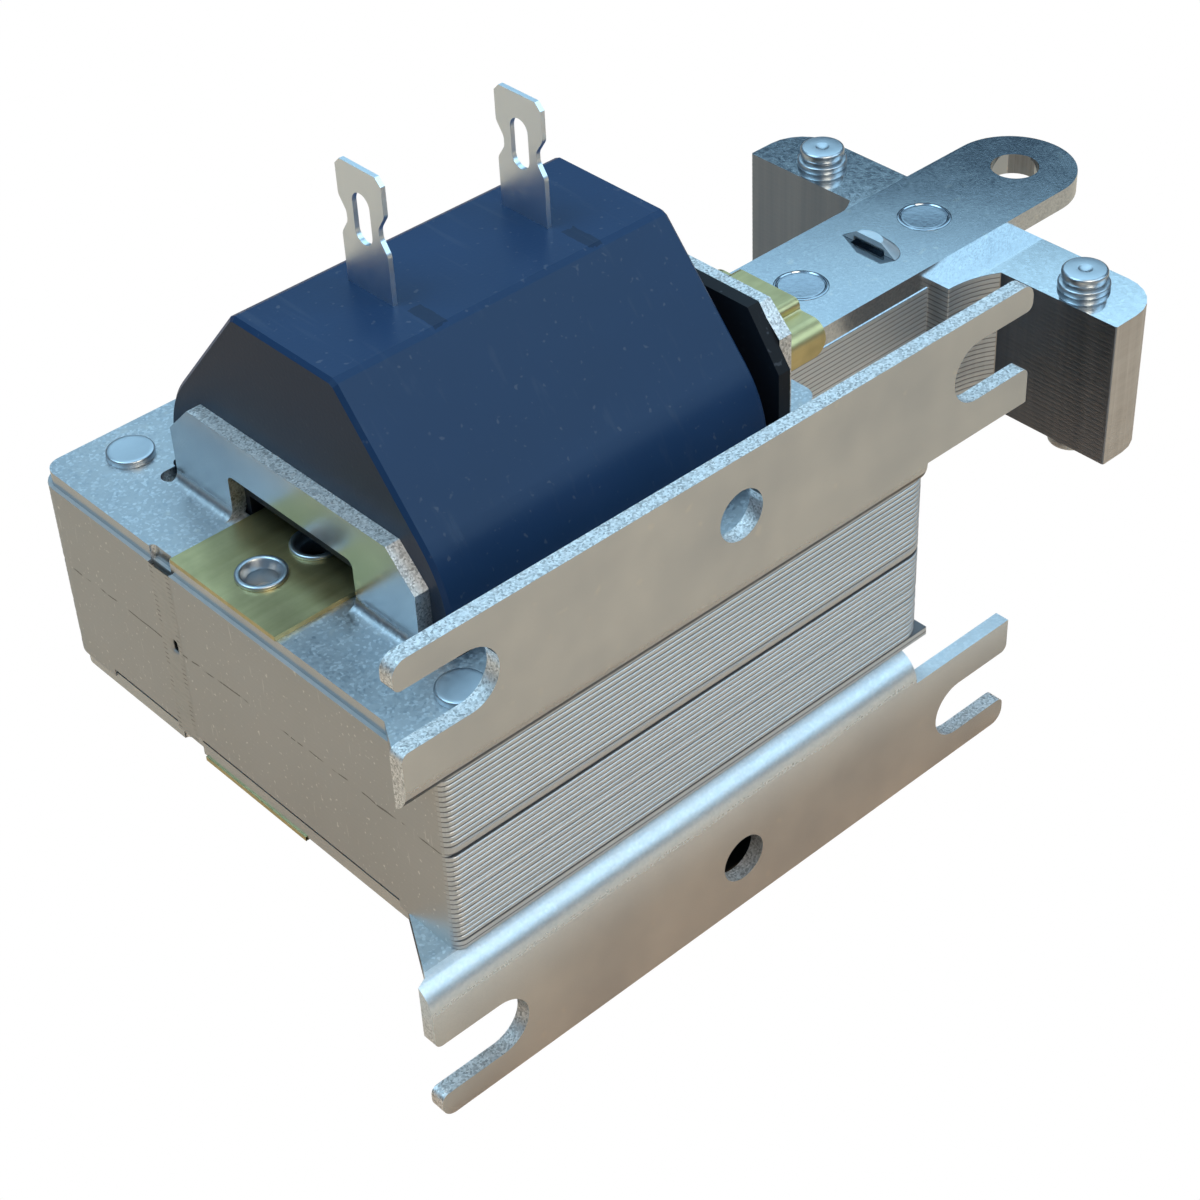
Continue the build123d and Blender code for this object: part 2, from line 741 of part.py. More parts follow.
# T-shaped laminated plunger, drawn out by the full travel
with BuildPart() as plunger:
    with BuildSketch(Plane.XY.offset(-plunger_half)) as tee:
        with BuildLine():
            lower_leg = Line((leg_end, mid_y - leg_half), (root_near, mid_y - leg_half))
            lower_step = Line(lower_leg @ 1, (root_near, mid_y - root_half))
            lower_flare = TangentArc(
                lower_step @ 1, (head_inner, mid_y - root_half - root_flare), tangent=(1, 0)
            )
            head = Polyline(
                lower_flare @ 1,
                (head_inner, mid_y - head_half),
                (head_outer, mid_y - head_half),
                (head_outer, mid_y + head_half),
                (head_inner, mid_y + head_half),
                (head_inner, mid_y + root_half + root_flare),
            )
            upper_flare = TangentArc(
                (root_near, mid_y + root_half), head @ 1, tangent=(1, 0)
            )
            Polyline(
                upper_flare @ 0,
                (root_near, mid_y + leg_half),
                (leg_end, mid_y + leg_half),
                lower_leg @ 0,
            )
        make_face()
        outer_ends = tee.vertices().filter_by_position(Axis.X, head_outer - 0.01, head_outer + 0.01)
        fillet(outer_ends, head_corner)
        with Locations(
            (root_near - groove_width, mid_y - leg_half),
            (root_near - groove_width, mid_y + leg_half),
        ):
            Rectangle(groove_width, 2 * groove_depth, align=(Align.MIN, Align.CENTER), mode=Mode.SUBTRACT)
        with Locations((link_rivet_near, mid_y), (link_rivet_far, mid_y)):
            Circle(link_rivet_shank / 2, mode=Mode.SUBTRACT)
        with Locations((stud_x, mid_y - stud_y), (stud_x, mid_y + stud_y)):
            Circle(stud_shank / 2, mode=Mode.SUBTRACT)
    extrude(amount=2 * plunger_half)
plunger.part.label = "plunger_laminations"

# Link plate with a full-round eye, countersunk rivet holes and a lanced stop bump
with BuildPart() as upper_link:
    with BuildSketch(Plane.XY.offset(plunger_half)) as strap:
        with Locations((link_near, mid_y)):
            Rectangle(tip_x - link_near, 2 * link_half, align=(Align.MIN, Align.CENTER))
        fillet(strap.vertices().group_by(Axis.X)[0], link_corner)
        with Locations((tip_x, mid_y)):
            Circle(link_half)
        with Locations((pin_x, mid_y)):
            Circle(pin_hole / 2, mode=Mode.SUBTRACT)
        with Locations((link_rivet_near, mid_y), (link_rivet_far, mid_y)):
            Circle(link_rivet_shank / 2, mode=Mode.SUBTRACT)
    extrude(amount=link_sheet)
    with BuildSketch(Plane.XY.offset(link_top)):
        with Locations((link_rivet_near, mid_y), (link_rivet_far, mid_y)):
            Circle(link_rivet_head / 2)
    extrude(amount=-link_rivet_taper, taper=45, mode=Mode.SUBTRACT)
    # Stop bump, cut square on the side away from the eye and slit along that cut
    with BuildSketch(Plane.XY.offset(link_top)):
        with Locations((bump_x, mid_y)):
            Ellipse(bump_run, bump_half)
    with BuildSketch(Plane.XY.offset(link_top + bump_height)):
        with Locations((bump_x, mid_y)):
            Ellipse(bump_crown * bump_run, bump_crown * bump_half)
    loft()
    with BuildSketch(Plane.XY.offset(link_top)):
        with Locations((bump_x, mid_y)):
            Rectangle(bump_run, 2 * bump_half, align=(Align.MAX, Align.CENTER))
    extrude(amount=bump_height, mode=Mode.SUBTRACT)
    with BuildSketch(Plane.XY.offset(link_top - bump_slit_depth)):
        with Locations((bump_x - bump_slit, mid_y)):
            Rectangle(2 * bump_slit, bump_slit_length, align=(Align.MIN, Align.CENTER))
    extrude(amount=bump_slit_depth + bump_height / 2, mode=Mode.SUBTRACT)
upper_link.part.label = "upper_link_plate"

with BuildPart() as lower_link:
    mirror(upper_link.part, about=Plane.XY)
lower_link.part.label = "lower_link_plate"

# Two flush rivets through links and laminations
with BuildPart() as link_rivets:
    for station in (link_rivet_near, link_rivet_far):
        with BuildSketch(centre_line):
            with BuildLine():
                Polyline(
                    (station, 0),
                    (station + link_rivet_shank / 2, 0),
                    (station + link_rivet_shank / 2, link_top - link_rivet_taper),
                    (station + link_rivet_head / 2, link_top),
                    (station + link_rivet_head / 2 - link_rivet_proud, link_top + link_rivet_proud),
                    (station, link_top + link_rivet_proud),
                    close=True,
                )
            make_face()
        revolve(axis=Axis((station, mid_y, 0), (0, 0, 1)))
    mirror(about=Plane.XY)
link_rivets.part.label = "link_rivets"

# Two grooved studs through the head
with BuildPart() as head_studs:
    for side in (-1, 1):
        with BuildSketch(Plane.XZ.offset(-mid_y - side * stud_y)):
            with BuildLine():
                Polyline(
                    (stud_x, 0),
                    (stud_x + stud_shank / 2, 0),
                    (stud_x + stud_shank / 2, plunger_half),
                    (stud_x + stud_collar / 2, plunger_half),
                    (stud_x + stud_collar / 2, stud_groove_low),
                    (stud_x + stud_groove / 2, stud_groove_low),
                    (stud_x + stud_groove / 2, stud_disc_low),
                    (stud_x + stud_disc / 2, stud_disc_low),
                    (stud_x + stud_disc / 2, stud_top - stud_bevel),
                    (stud_x + stud_disc / 2 - stud_bevel, stud_top),
                    (stud_x + stud_dimple / 2, stud_top),
                    (stud_x, stud_top - stud_dimple_depth),
                    close=True,
                )
            make_face()
        revolve(axis=Axis((stud_x, mid_y + side * stud_y, 0), (0, 0, 1)))
    mirror(about=Plane.XY)
head_studs.part.label = "head_studs"

for piece in (
    upper_pack,
    centre_plate,
    lower_pack,
    leg_strips,
    top_bracket,
    bottom_bracket,
    frame_rivets,
    coil_case,
    coil_winding,
    bobbin,
    coil_leads,
    terminal_near,
    terminal_far,
    upper_guide,
    lower_guide,
    upper_guide_eyelets,
    lower_guide_eyelets,
    shading_rings,
    plunger,
    upper_link,
    lower_link,
    link_rivets,
    head_studs,
):
    export_step(piece.part, "parts/" + piece.part.label + ".step")
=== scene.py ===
import math

import bmesh
import bpy
import numpy as np
from mathutils import Matrix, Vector
from mathutils.geometry import tessellate_polygon


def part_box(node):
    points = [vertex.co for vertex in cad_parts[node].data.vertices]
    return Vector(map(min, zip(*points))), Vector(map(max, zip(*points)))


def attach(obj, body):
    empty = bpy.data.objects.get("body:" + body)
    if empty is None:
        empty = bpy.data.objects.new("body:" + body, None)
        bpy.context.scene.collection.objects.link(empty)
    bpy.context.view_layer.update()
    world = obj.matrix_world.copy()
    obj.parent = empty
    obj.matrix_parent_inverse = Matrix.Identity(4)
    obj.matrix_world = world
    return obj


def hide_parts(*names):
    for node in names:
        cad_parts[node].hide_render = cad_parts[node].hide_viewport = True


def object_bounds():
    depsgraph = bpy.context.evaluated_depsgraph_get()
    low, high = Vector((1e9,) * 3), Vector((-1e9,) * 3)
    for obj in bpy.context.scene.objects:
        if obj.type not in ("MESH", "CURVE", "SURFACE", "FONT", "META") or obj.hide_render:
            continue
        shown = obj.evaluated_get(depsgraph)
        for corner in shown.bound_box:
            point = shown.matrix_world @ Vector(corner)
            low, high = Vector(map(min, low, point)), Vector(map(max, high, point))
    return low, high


bl_info = {
    "name": "Laminated Frame Solenoid",
    "version": (1, 0, 0),
    "blender": (4, 5, 0),
    "location": "3D View > Sidebar > Solenoid",
    "description": "Dresses a packed solenoid with stacked sheets, rolled eyelets and plated finishes",
    "category": "Object",
}

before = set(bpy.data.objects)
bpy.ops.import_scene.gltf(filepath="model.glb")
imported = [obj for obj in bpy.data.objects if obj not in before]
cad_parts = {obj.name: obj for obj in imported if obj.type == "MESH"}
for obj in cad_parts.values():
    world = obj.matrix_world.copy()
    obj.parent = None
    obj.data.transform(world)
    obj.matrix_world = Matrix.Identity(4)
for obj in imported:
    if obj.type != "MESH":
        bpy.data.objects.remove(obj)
CAD_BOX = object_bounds()
MM = 0.001
STATOR = "frame_body"
PLUNGER = "plunger_body"


def span(node):
    """Lowest and highest corner of a CAD node, in millimetres."""
    low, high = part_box(node)
    return np.array(low) / MM, np.array(high) / MM


def middle(node, axis=1):
    """The middle of a CAD node along an axis, in millimetres."""
    low, high = span(node)
    return float((low[axis] + high[axis]) / 2)


MID_Y = middle("coil_case")
PARTING_LEVEL = span("centre_plate")[0][2]

# Sizes of the stamped sheets, welds and fasteners, in millimetres
SHEET = 0.58
UPPER_COUNT = 14
LOWER_COUNT = 18
PARTING = 0.3
PARTING_DEPTH = 0.45
YOKE = 9.4
LEG = 9.2
WELD = 3.2
WELD_DEPTH = 0.5
WELD_SHIFT = 9.9
WELD_CROWN = 0.04
WELD_RIPPLE = 0.022
WELD_POINTS = (25, 360)
PIT_DEPTH = 0.45
PIT_HALF_HEIGHT = 0.75
PIT_SIDE = 0.25
PIT_HALF_WIDTH = 0.28
RING_NOTCH = 1.5
RING_NOTCH_DEPTH = 1.9
RING_NOTCHES = (27.4, 23.4)
NEAR_ROUND = 1.2
BACK_ROUND = 3.0
FAR_ROUND = 3.0
HEAD_DEPTH = 8.3
LINK = 2.4
STOP_SET = 2.6
STOP_HALF_LENGTH = 3.0
STOP_HALF_WIDTH = 4.0
STRAP_SIDE = 4.6
SINK_FRONT = 5.3
SINK_SHIFT = 0.9
SINK_HALF_LENGTH = 1.9
SINK_HALF_WIDTH = 0.75
ROOF_LEVEL = 30.0
ROOT_LENGTH = 6.3
ROOT_HALF = 9.1
ROOT_FLARE = 1.8
LEG_HALF = 7.3
STEP_GAP = 1.2
STEP_DEPTH = 1.0
BRACKET = 1.6
FRAME_RIVET = 4.8
EYELET = 5.0
EYELET_LIP = 0.4
LINK_RIVET = 5.9
STUD = 5.6

# Levels, in millimetres, where a bracket passes from plate to upright or flange, and the stretch below its
# lower bend where a pale highlight is painted
FLANGE_FRONT = 3.3
FLANGE_LEVEL = 13.5
LOWER_FLANGE_LEVEL = 16.5
PLATE_LEVEL = 12.0
UPRIGHT_LEVEL = 13.3
HIGHLIGHT_FOOT = 19.5
HIGHLIGHT_HEIGHT = 7.0
HIGHLIGHT_FRONT = 2.4

# The floor: middle and half size of the footprint where its shadow is painted dark, and of the patch where
# the camera sees that painted shadow through the lower flange's hole
FLOOR_DROP = 0.05
FLOOR_REACH = 2500.0
SHADOW_FOOTPRINT = ((-3, 32), (31, 30))
SHADOW_FADE = 2.5
DARK_PATCH = ((5, 6.5), (7, 4.5))

# Lamps round the aim: azimuth, elevation, distance, size, power, colour
AIM = (5, MID_Y, 5)
LAMPS = {
    "overhead_lamp": (40, 52.2, 2000, 1590, 11.5, (0.50, 0.80, 1.0)),
    "slope_lamp": (-50, 38, 1200, 760, 4.2, (0.52, 0.80, 1.0)),
    "left_lamp": (150, 60, 1500, 900, 12.0, (0.50, 0.80, 1.0)),
}

# The low lamp in front: place, target, size, power, colour
FLOOR_LAMP = ((-100, -500, 600), (0, -60, -25), 300, 2.2, (1.0, 0.84, 0.64))

# Sky colours by height, from straight down at 0 to straight up at 1
SKY = (
    (0.40, (0.60, 0.53, 0.45)),
    (0.505, (0.22, 0.21, 0.21)),
    (0.60, (0.05, 0.07, 0.10)),
    (0.75, (0.04, 0.08, 0.13)),
    (0.80, (0.16, 0.26, 0.36)),
    (1.0, (0.24, 0.38, 0.52)),
)

# Camera axes and place, in metres
CAMERA_LENS = 76.846
CAMERA_RIGHT = (0.7341707, -0.6777927, -0.0398801)
CAMERA_DOWN = (-0.4501602, -0.4419509, -0.7759092)
CAMERA_AHEAD = (0.5082806, 0.5876023, -0.6295827)
CAMERA_PLACE = (-0.12437, -0.12457, 0.15443)


# Surfaces


def rounded_outline(corners, radii, steps=7):
    """A closed outline with rounded corners.

    Each corner is replaced by an arc of its own radius that touches both sides: its centre lies on the
    bisector, radius / sin(half angle) from the corner, and the arc turns evenly from one touching point
    to the other. Sharp corners have a tiny radius.
    """
    corners = np.asarray(corners, float)
    radii = np.asarray(radii, float)[:, None]
    to_last = np.roll(corners, 1, axis=0) - corners
    to_next = np.roll(corners, -1, axis=0) - corners
    to_last /= np.linalg.norm(to_last, axis=1, keepdims=True)
    to_next /= np.linalg.norm(to_next, axis=1, keepdims=True)
    half = 0.5 * np.arccos(np.clip((to_last * to_next).sum(1, keepdims=True), -1, 1))
    bisector = to_last + to_next
    bisector /= np.linalg.norm(bisector, axis=1, keepdims=True)
    centre = corners + bisector * radii / np.sin(half)
    start = corners + to_last * radii / np.tan(half) - centre
    end = corners + to_next * radii / np.tan(half) - centre
    share = np.linspace(0, 1, steps)[None, :, None]
    turn = math.pi - 2 * half[:, :, None]
    arc = (start[:, None] * np.sin((1 - share) * turn) + end[:, None] * np.sin(share * turn)) / np.sin(turn)
    return (centre[:, None] + arc).reshape(-1, 2)


def outline_normals(points):
    """Outward unit normals of a counter-clockwise outline, from the chord between neighbours."""
    chord = np.roll(points, -1, axis=0) - np.roll(points, 1, axis=0)
    normal = np.stack([chord[:, 1], -chord[:, 0]], axis=1)
    return normal / np.linalg.norm(normal, axis=1, keepdims=True)


def mesh_from(name, points, faces, smooth=False):
    """A mesh object at the origin from points in millimetres and a list of face index arrays."""
    mesh = bpy.data.meshes.new(name)
    loops = np.concatenate([np.ravel(block) for block in faces]).astype(np.int32)
    sizes = np.concatenate([np.full(len(block), block.shape[1]) for block in faces]).astype(np.int32)
    mesh.vertices.add(len(points))
    mesh.vertices.foreach_set("co", (np.asarray(points) * MM).astype(np.float32).ravel())
    mesh.loops.add(len(loops))
    mesh.loops.foreach_set("vertex_index", loops)
    mesh.polygons.add(len(sizes))
    mesh.polygons.foreach_set("loop_start", (np.cumsum(sizes) - sizes).astype(np.int32))
    mesh.polygons.foreach_set("use_smooth", np.full(len(sizes), smooth))
    mesh.update(calc_edges=True)
    mesh.validate()
    piece = bpy.data.objects.new(name, mesh)
    bpy.context.scene.collection.objects.link(piece)
    return piece


def ring_quads(rows, columns):
    """Quads of a grid whose columns close on themselves, as indices into rows x columns points."""
    row = np.arange(rows - 1)[:, None]
    col = np.arange(columns)[None, :]
    after = (col + 1) % columns
    above = row + 1
    quads = [row * columns + col, row * columns + after, above * columns + after, above * columns + col]
    quads = np.stack(quads, axis=-1)
    return quads.reshape(-1, 4)


def cap_triangles(outline):
    """Triangles that fill a closed outline, as indices into its points, all turned counter-clockwise."""
    cap = np.array(tessellate_polygon([[(x, y, 0) for x, y in outline]]))
    first, second, third = outline[cap[:, 0]], outline[cap[:, 1]], outline[cap[:, 2]]
    along, across = second - first, third - first
    wrong = along[:, 0] * across[:, 1] < along[:, 1] * across[:, 0]
    cap[wrong] = cap[wrong][:, ::-1]
    return cap


def sheet_profile(low, count, pitch, groove, offset):
    """Heights and insets down the side of a stack.

    Within each sheet the edge is full over the middle of its thickness and falls away to the groove
    depth at both faces; offset shifts each sheet in as a whole.
    """
    share = np.array([0.0, 0.10, 0.24, 0.76, 0.90, 1.0])
    fall = np.array([1.0, 0.75, 0.0, 0.0, 0.75, 1.0])
    heights = low + (np.arange(count)[:, None] + share[None, :]) * pitch
    insets = groove * fall[None, :] + offset[:, None] * (fall[None, :] < 1)
    return heights.ravel(), insets.ravel()


def sheet_stack(name, corners, radii, low, count, pitch, groove, jitter, quiet, seed, parting):
    """A stack of stamped sheets as one closed surface.

    A point at outline parameter u and height parameter v lies at outline(u) minus the outward normal
    times the inset of the sheet profile at v; quiet(u) scales the inset where a face was ground flat.
    The first and last rings are closed by flat caps. A parting leaves the last stretch of height narrower.
    """
    outline = rounded_outline(corners, radii)
    normals = outline_normals(outline)
    offset = np.abs(np.random.default_rng(seed).normal(0, jitter, count))
    heights, insets = sheet_profile(low, count, pitch, groove, offset)
    if parting:
        top = low + count * pitch
        heights = np.append(heights, (top, top + parting))
        insets = np.append(insets, (PARTING_DEPTH, PARTING_DEPTH))
    scale = quiet(outline)[None, :, None]
    flat = outline[None] - normals[None] * insets[:, None, None] * scale
    heights = np.broadcast_to(heights[:, None, None], flat.shape[:2] + (1,))
    points = np.concatenate([flat, heights], axis=2)
    rows, columns = flat.shape[:2]
    last = (rows - 1) * columns
    cap = cap_triangles(outline)
    faces = [ring_quads(rows, columns), cap[:, ::-1], last + cap]
    return mesh_from(name, points.reshape(-1, 3), faces)


def turned(name, centres, profile, segments=40, flip=()):
    """Surfaces of revolution about vertical axes.

    The profile is a list of (radius, height) pairs from the axis outwards and back; at angle a a point
    lies at centre + radius * (cos a, sin a) and its height. Places in flip are mirrored below the mid plane.
    """
    profile = np.asarray(profile, float)
    angle = np.arange(segments) / segments * 2 * math.pi
    blocks = []
    faces = []
    start = 0
    for place, (x, y) in enumerate(centres):
        below = place in flip
        radius, height = profile[:, 0][:, None], profile[:, 1][:, None]
        x_row = x + radius * np.cos(angle)[None]
        y_row = y + radius * np.sin(angle)[None]
        z_row = np.broadcast_to(-height if below else height, x_row.shape)
        quads = ring_quads(len(profile), segments)
        faces.append(start + (quads if below else quads[:, ::-1]))
        blocks.append(np.stack([x_row, y_row, z_row], axis=-1).reshape(-1, 3))
        start += len(blocks[-1])
    piece = mesh_from(name, np.concatenate(blocks), faces, smooth=True)
    merge_close(piece)
    return piece


def ring_profile(rows):
    """A closed profile from rows of radius, height and rounding, its first point repeated at the end."""
    rows = np.array(rows, float)
    points = rounded_outline(rows[:, :2], rows[:, 2], 5)
    points[:, 0] = np.maximum(points[:, 0], 0)
    return np.concatenate([points, points[:1]])


def turned_pairs(name, spots, rows):
    """The same turned shape at each place, above the mid plane and mirrored below it."""
    both = list(spots) + list(spots)
    return turned(name, both, ring_profile(rows), flip=range(len(spots), len(both)))


def weld_bead(name, face, middle_y):
    """A weld that fills the notch in the near face.

    With u from -1 to 1 across and z upwards, a point lies at x = face - crown (1 - u^4) + a ripple that
    follows the sheets and y = middle + u half the width. Where the two packs meet it sinks in a short pit.
    """
    low = span("leg_strips")[0][2] + 0.1
    high = span("upper_lamination_pack")[1][2] - 0.05
    across, along = WELD_POINTS
    u = np.linspace(-1, 1, across)[:, None]
    z = np.linspace(low, high, along)[None, :]
    y = middle_y + u * (WELD / 2 + 0.06) + 0 * z
    ripple = WELD_RIPPLE * (1 + np.sin(2 * math.pi * z / SHEET)) * (1 - u**2)
    up = (z - PARTING_LEVEL) / PIT_HALF_HEIGHT
    pit = np.exp(-(up**4) - ((u + PIT_SIDE) / PIT_HALF_WIDTH) ** 4)
    x = face - WELD_CROWN * (1 - u**4) + ripple + PIT_DEPTH * pit
    points = np.stack([x, y, z + 0 * u], axis=-1).reshape(-1, 3)
    start = np.arange(across - 1)[:, None] * along + np.arange(along - 1)[None, :]
    quads = np.stack([start, start + 1, start + along + 1, start + along], axis=-1).reshape(-1, 4)
    return mesh_from(name, points, [quads], smooth=True)


def merge_close(piece, distance=1e-6):
    """Joins points that lie together, as at the pole of a turned shape, and turns faces outwards."""
    work = bmesh.new()
    work.from_mesh(piece.data)
    bmesh.ops.remove_doubles(work, verts=work.verts, dist=distance)
    bmesh.ops.recalc_face_normals(work, faces=work.faces)
    work.to_mesh(piece.data)
    work.free()


# Finishes


def set_stops(ramp, stops):
    """Places the stops of a colour ramp; a level is a grey or a colour."""
    while len(ramp.elements) < len(stops):
        ramp.elements.new(0.5)
    for element, (position, level) in zip(ramp.elements, stops):
        element.position = position
        element.color = (*level, 1) if isinstance(level, tuple) else (level, level, level, 1)


class Value:
    """A node's output socket that takes part in Python arithmetic by adding Math nodes."""

    def __init__(self, finish, socket):
        self.finish = finish
        self.socket = socket

    def math(self, operation, *others, flip=False):
        sides = [self, *others]
        if flip:
            sides.reverse()
        return self.finish.add("ShaderNodeMath", {"operation": operation}, dict(enumerate(sides)))

    def __add__(self, other):
        return self.math("ADD", other)

    __radd__ = __add__

    def __sub__(self, other):
        return self.math("SUBTRACT", other)

    def __rsub__(self, other):
        return self.math("SUBTRACT", other, flip=True)

    def __mul__(self, other):
        return self.math("MULTIPLY", other)

    def __gt__(self, other):
        return self.math("GREATER_THAN", other)

    def __lt__(self, other):
        return self.math("LESS_THAN", other)

    def __abs__(self):
        return self.math("ABSOLUTE")

    def power(self, exponent):
        return self.math("POWER", exponent)

    def larger(self, other):
        return self.math("MAXIMUM", other)

    def smaller(self, other):
        return self.math("MINIMUM", other)

    def clamp(self):
        return self.larger(0.0).smaller(1.0)


class Finish:
    """One material: a Principled shader and the nodes that feed it."""

    def __init__(self, name, **sockets):
        self.material = bpy.data.materials.new(name)
        self.material.use_nodes = True
        self.tree = self.material.node_tree
        self.shader = self.tree.nodes["Principled BSDF"]
        for label, value in sockets.items():
            self.shader.inputs[label.replace("_", " ").title()].default_value = value
        self.place = self.add("ShaderNodeTexCoord", out="Object")

    def add(self, kind, settings=None, sockets=None, out=0):
        """Adds any node: settings first (a ramp's stops among them), then values or links."""
        node = self.tree.nodes.new(kind)
        for label, value in (settings or {}).items():
            if label == "stops":
                set_stops(node.color_ramp, value)
            else:
                setattr(node, label, value)
        for label, value in (sockets or {}).items():
            self.feed(node.inputs[label], value)
        return Value(self, node.outputs[out])

    def feed(self, socket, value):
        if isinstance(value, Value):
            self.tree.links.new(value.socket, socket)
        else:
            socket.default_value = value

    def set(self, label, value):
        self.feed(self.shader.inputs[label], value)

    def stretch(self, scale, turn=(0, 0, 0)):
        """Object coordinates, turned and scaled per axis, to draw a pattern out along one way."""
        sockets = {"Vector": self.place, "Rotation": turn, "Scale": scale}
        return self.add("ShaderNodeMapping", sockets=sockets)

    def noise(self, scale, detail=2.0, roughness=0.5, vector=None):
        sockets = {
            "Vector": vector or self.place,
            "Scale": scale,
            "Detail": detail,
            "Roughness": roughness,
        }
        return self.add("ShaderNodeTexNoise", sockets=sockets)

    def cells(self, scale):
        """Three random values for each cell of a grain."""
        sockets = {"Vector": self.place, "Scale": scale}
        return self.axes(self.add("ShaderNodeTexVoronoi", sockets=sockets, out="Color"))

    def facing(self):
        """The surface's normal along X, Y and Z."""
        return self.axes(self.add("ShaderNodeTexCoord", out="Normal"))

    def ramp(self, value, *stops):
        return self.add("ShaderNodeValToRGB", {"stops": stops}, {"Fac": value})

    def axes(self, vector):
        node = self.tree.nodes.new("ShaderNodeSeparateXYZ")
        self.feed(node.inputs[0], vector)
        return [Value(self, out) for out in node.outputs]

    def blend(self, factor, first, second):
        """Colour mix: first where factor is 0, second where it is 1."""
        node = self.tree.nodes.new("ShaderNodeMix")
        node.data_type = "RGBA"
        for index, value in ((0, factor), (6, first), (7, second)):
            plain = isinstance(value, tuple) and len(value) == 3
            self.feed(node.inputs[index], (*value, 1) if plain else value)
        return Value(self, node.outputs[2])

    def bump(self, height, strength, distance):
        """Feeds Normal through a Bump node; distance is in metres."""
        sockets = {"Height": height, "Strength": strength, "Distance": distance}
        self.set("Normal", self.add("ShaderNodeBump", sockets=sockets))


def zinc_sheet(
    name,
    cut_edge,
    tint=(0.60, 0.62, 0.63),
    shade=(0.46, 0.49, 0.52),
    grain=1.0,
    dull=0.24,
    stop_highlight=None,
    bend=None,
):
    """Bright zinc plate: a fine spangle, faint cloudy patches and a coarser glitter on cut edges.

    Where asked, it takes a painted pale highlight on a pressed stop, or (bend) a painted pale highlight
    below a bend and a painted dark shadow on a flange's lower edge.
    """
    f = Finish(name, metallic=1.0)
    clouds = f.noise(70, 3, 0.6)
    facet, spark, _ = f.cells(3600)
    grains, glint, _ = f.cells(5600)
    fine = f.noise(5200, 2, 0.6)
    _, _, nz = f.facing()
    flat = abs(nz)
    edge = cut_edge(f)
    frost = f.ramp(grains, (0.0, 0.42), (0.3, 0.66), (0.7, 0.86), (1.0, 0.98))
    color = f.blend(f.ramp(clouds, (0.3, 0.0), (0.7, 1.0)), shade, tint)
    color = f.blend(((facet - 0.62) * 2.4).clamp() * 0.7 * grain * flat, color, (0.80, 0.83, 0.86))
    color = f.blend(((0.25 - spark) * 4).clamp() * 0.35 * grain * flat, color, (0.30, 0.36, 0.42))
    color = f.blend(f.ramp(f.noise(700, 1, 0.4), (0.68, 0.0), (0.75, 0.22)), color, (0.74, 0.70, 0.62))
    color = f.blend(edge * 0.9, color, frost)
    # Painted highlight: a pale colour below the bend, with the metal made less metallic there
    if bend:
        bend_highlight, flange_edge_shadow = bend(f)
        bend_highlight_colour = f.blend(f.noise(3000, 1, 0.5), (0.62, 0.72, 0.78), (0.92, 0.97, 1.0))
        color = f.blend(bend_highlight, color, bend_highlight_colour)
        # Painted shadow: the downward-facing lower edge of the upper flange is made near black
        color = f.blend(flange_edge_shadow, color, (0.06, 0.06, 0.06))
        f.set("Metallic", 1 - bend_highlight * 0.5)
    # Painted highlight: the raised stop turned pale and less metallic, standing for the bright reflection on
    # its wall
    if stop_highlight:
        pressed = stop_highlight(f)
        pale = f.blend(f.noise(900, 2, 0.6), (0.50, 0.58, 0.64), (0.74, 0.82, 0.87))
        color = f.blend(pressed, color, pale)
        f.set("Metallic", 1 - pressed * 0.45)
    f.set("Base Color", color)
    grit = spark * 0.16 * grain + 0.14 * grain
    f.set("Roughness", (dull + (clouds - 0.5) * 0.10 + grit * flat + edge * 0.2).clamp())
    f.bump(facet * 0.5 * flat + fine * 0.3 + edge * glint * 1.2, 0.30 * grain, 0.00003)
    return f.material


def bracket_edges(f):
    """1 on the cut edges of a bracket: where the surface faces along the sheet instead of across it."""
    _, y, z = f.axes(f.place)
    nx, ny, _ = f.facing()
    nx, ny = abs(nx), abs(ny)
    high = abs(z)
    on_flange = y < FLANGE_FRONT * MM
    past_bend = (z > -FLANGE_LEVEL * MM).larger(z < -LOWER_FLANGE_LEVEL * MM)
    above = (high > FLANGE_LEVEL * MM) * past_bend
    on_plate = high < PLATE_LEVEL * MM
    flange = above * (1 - ny) + (1 - above) * nx
    upright = (high > UPRIGHT_LEVEL * MM) * (1 - nx) + (high < UPRIGHT_LEVEL * MM) * ny
    body = on_plate * ny + (1 - on_plate) * upright
    return (on_flange * flange + (1 - on_flange) * body) > 0.6


def bracket_bend_light(f):
    """Masks: the stretch below the lower bend where a pale highlight is painted, and the lower cut edge of
    the upper flange where a shadow is painted.
    """
    _, y, z = f.axes(f.place)
    _, _, nz = f.facing()
    fade = ((z + HIGHLIGHT_FOOT * MM) * (1 / (HIGHLIGHT_HEIGHT * MM))).clamp() * (y < HIGHLIGHT_FRONT * MM) * (z < 0)
    # Painted shadow: the downward-facing edge of the upper flange, where shade falls below it
    flange_edge_shadow = (nz < -0.35) * (y < FLANGE_FRONT * MM) * (z > 0)
    return fade.power(1.5) * 0.62, flange_edge_shadow


def strap_edges(f):
    """0.3 on the sheared sides of a link plate, where it faces sideways and lies far from the middle."""
    _, y, _ = f.axes(f.place)
    _, _, nz = f.facing()
    return (abs(nz) < 0.4) * (abs(y - MID_Y * MM) > STRAP_SIDE * MM) * 0.3


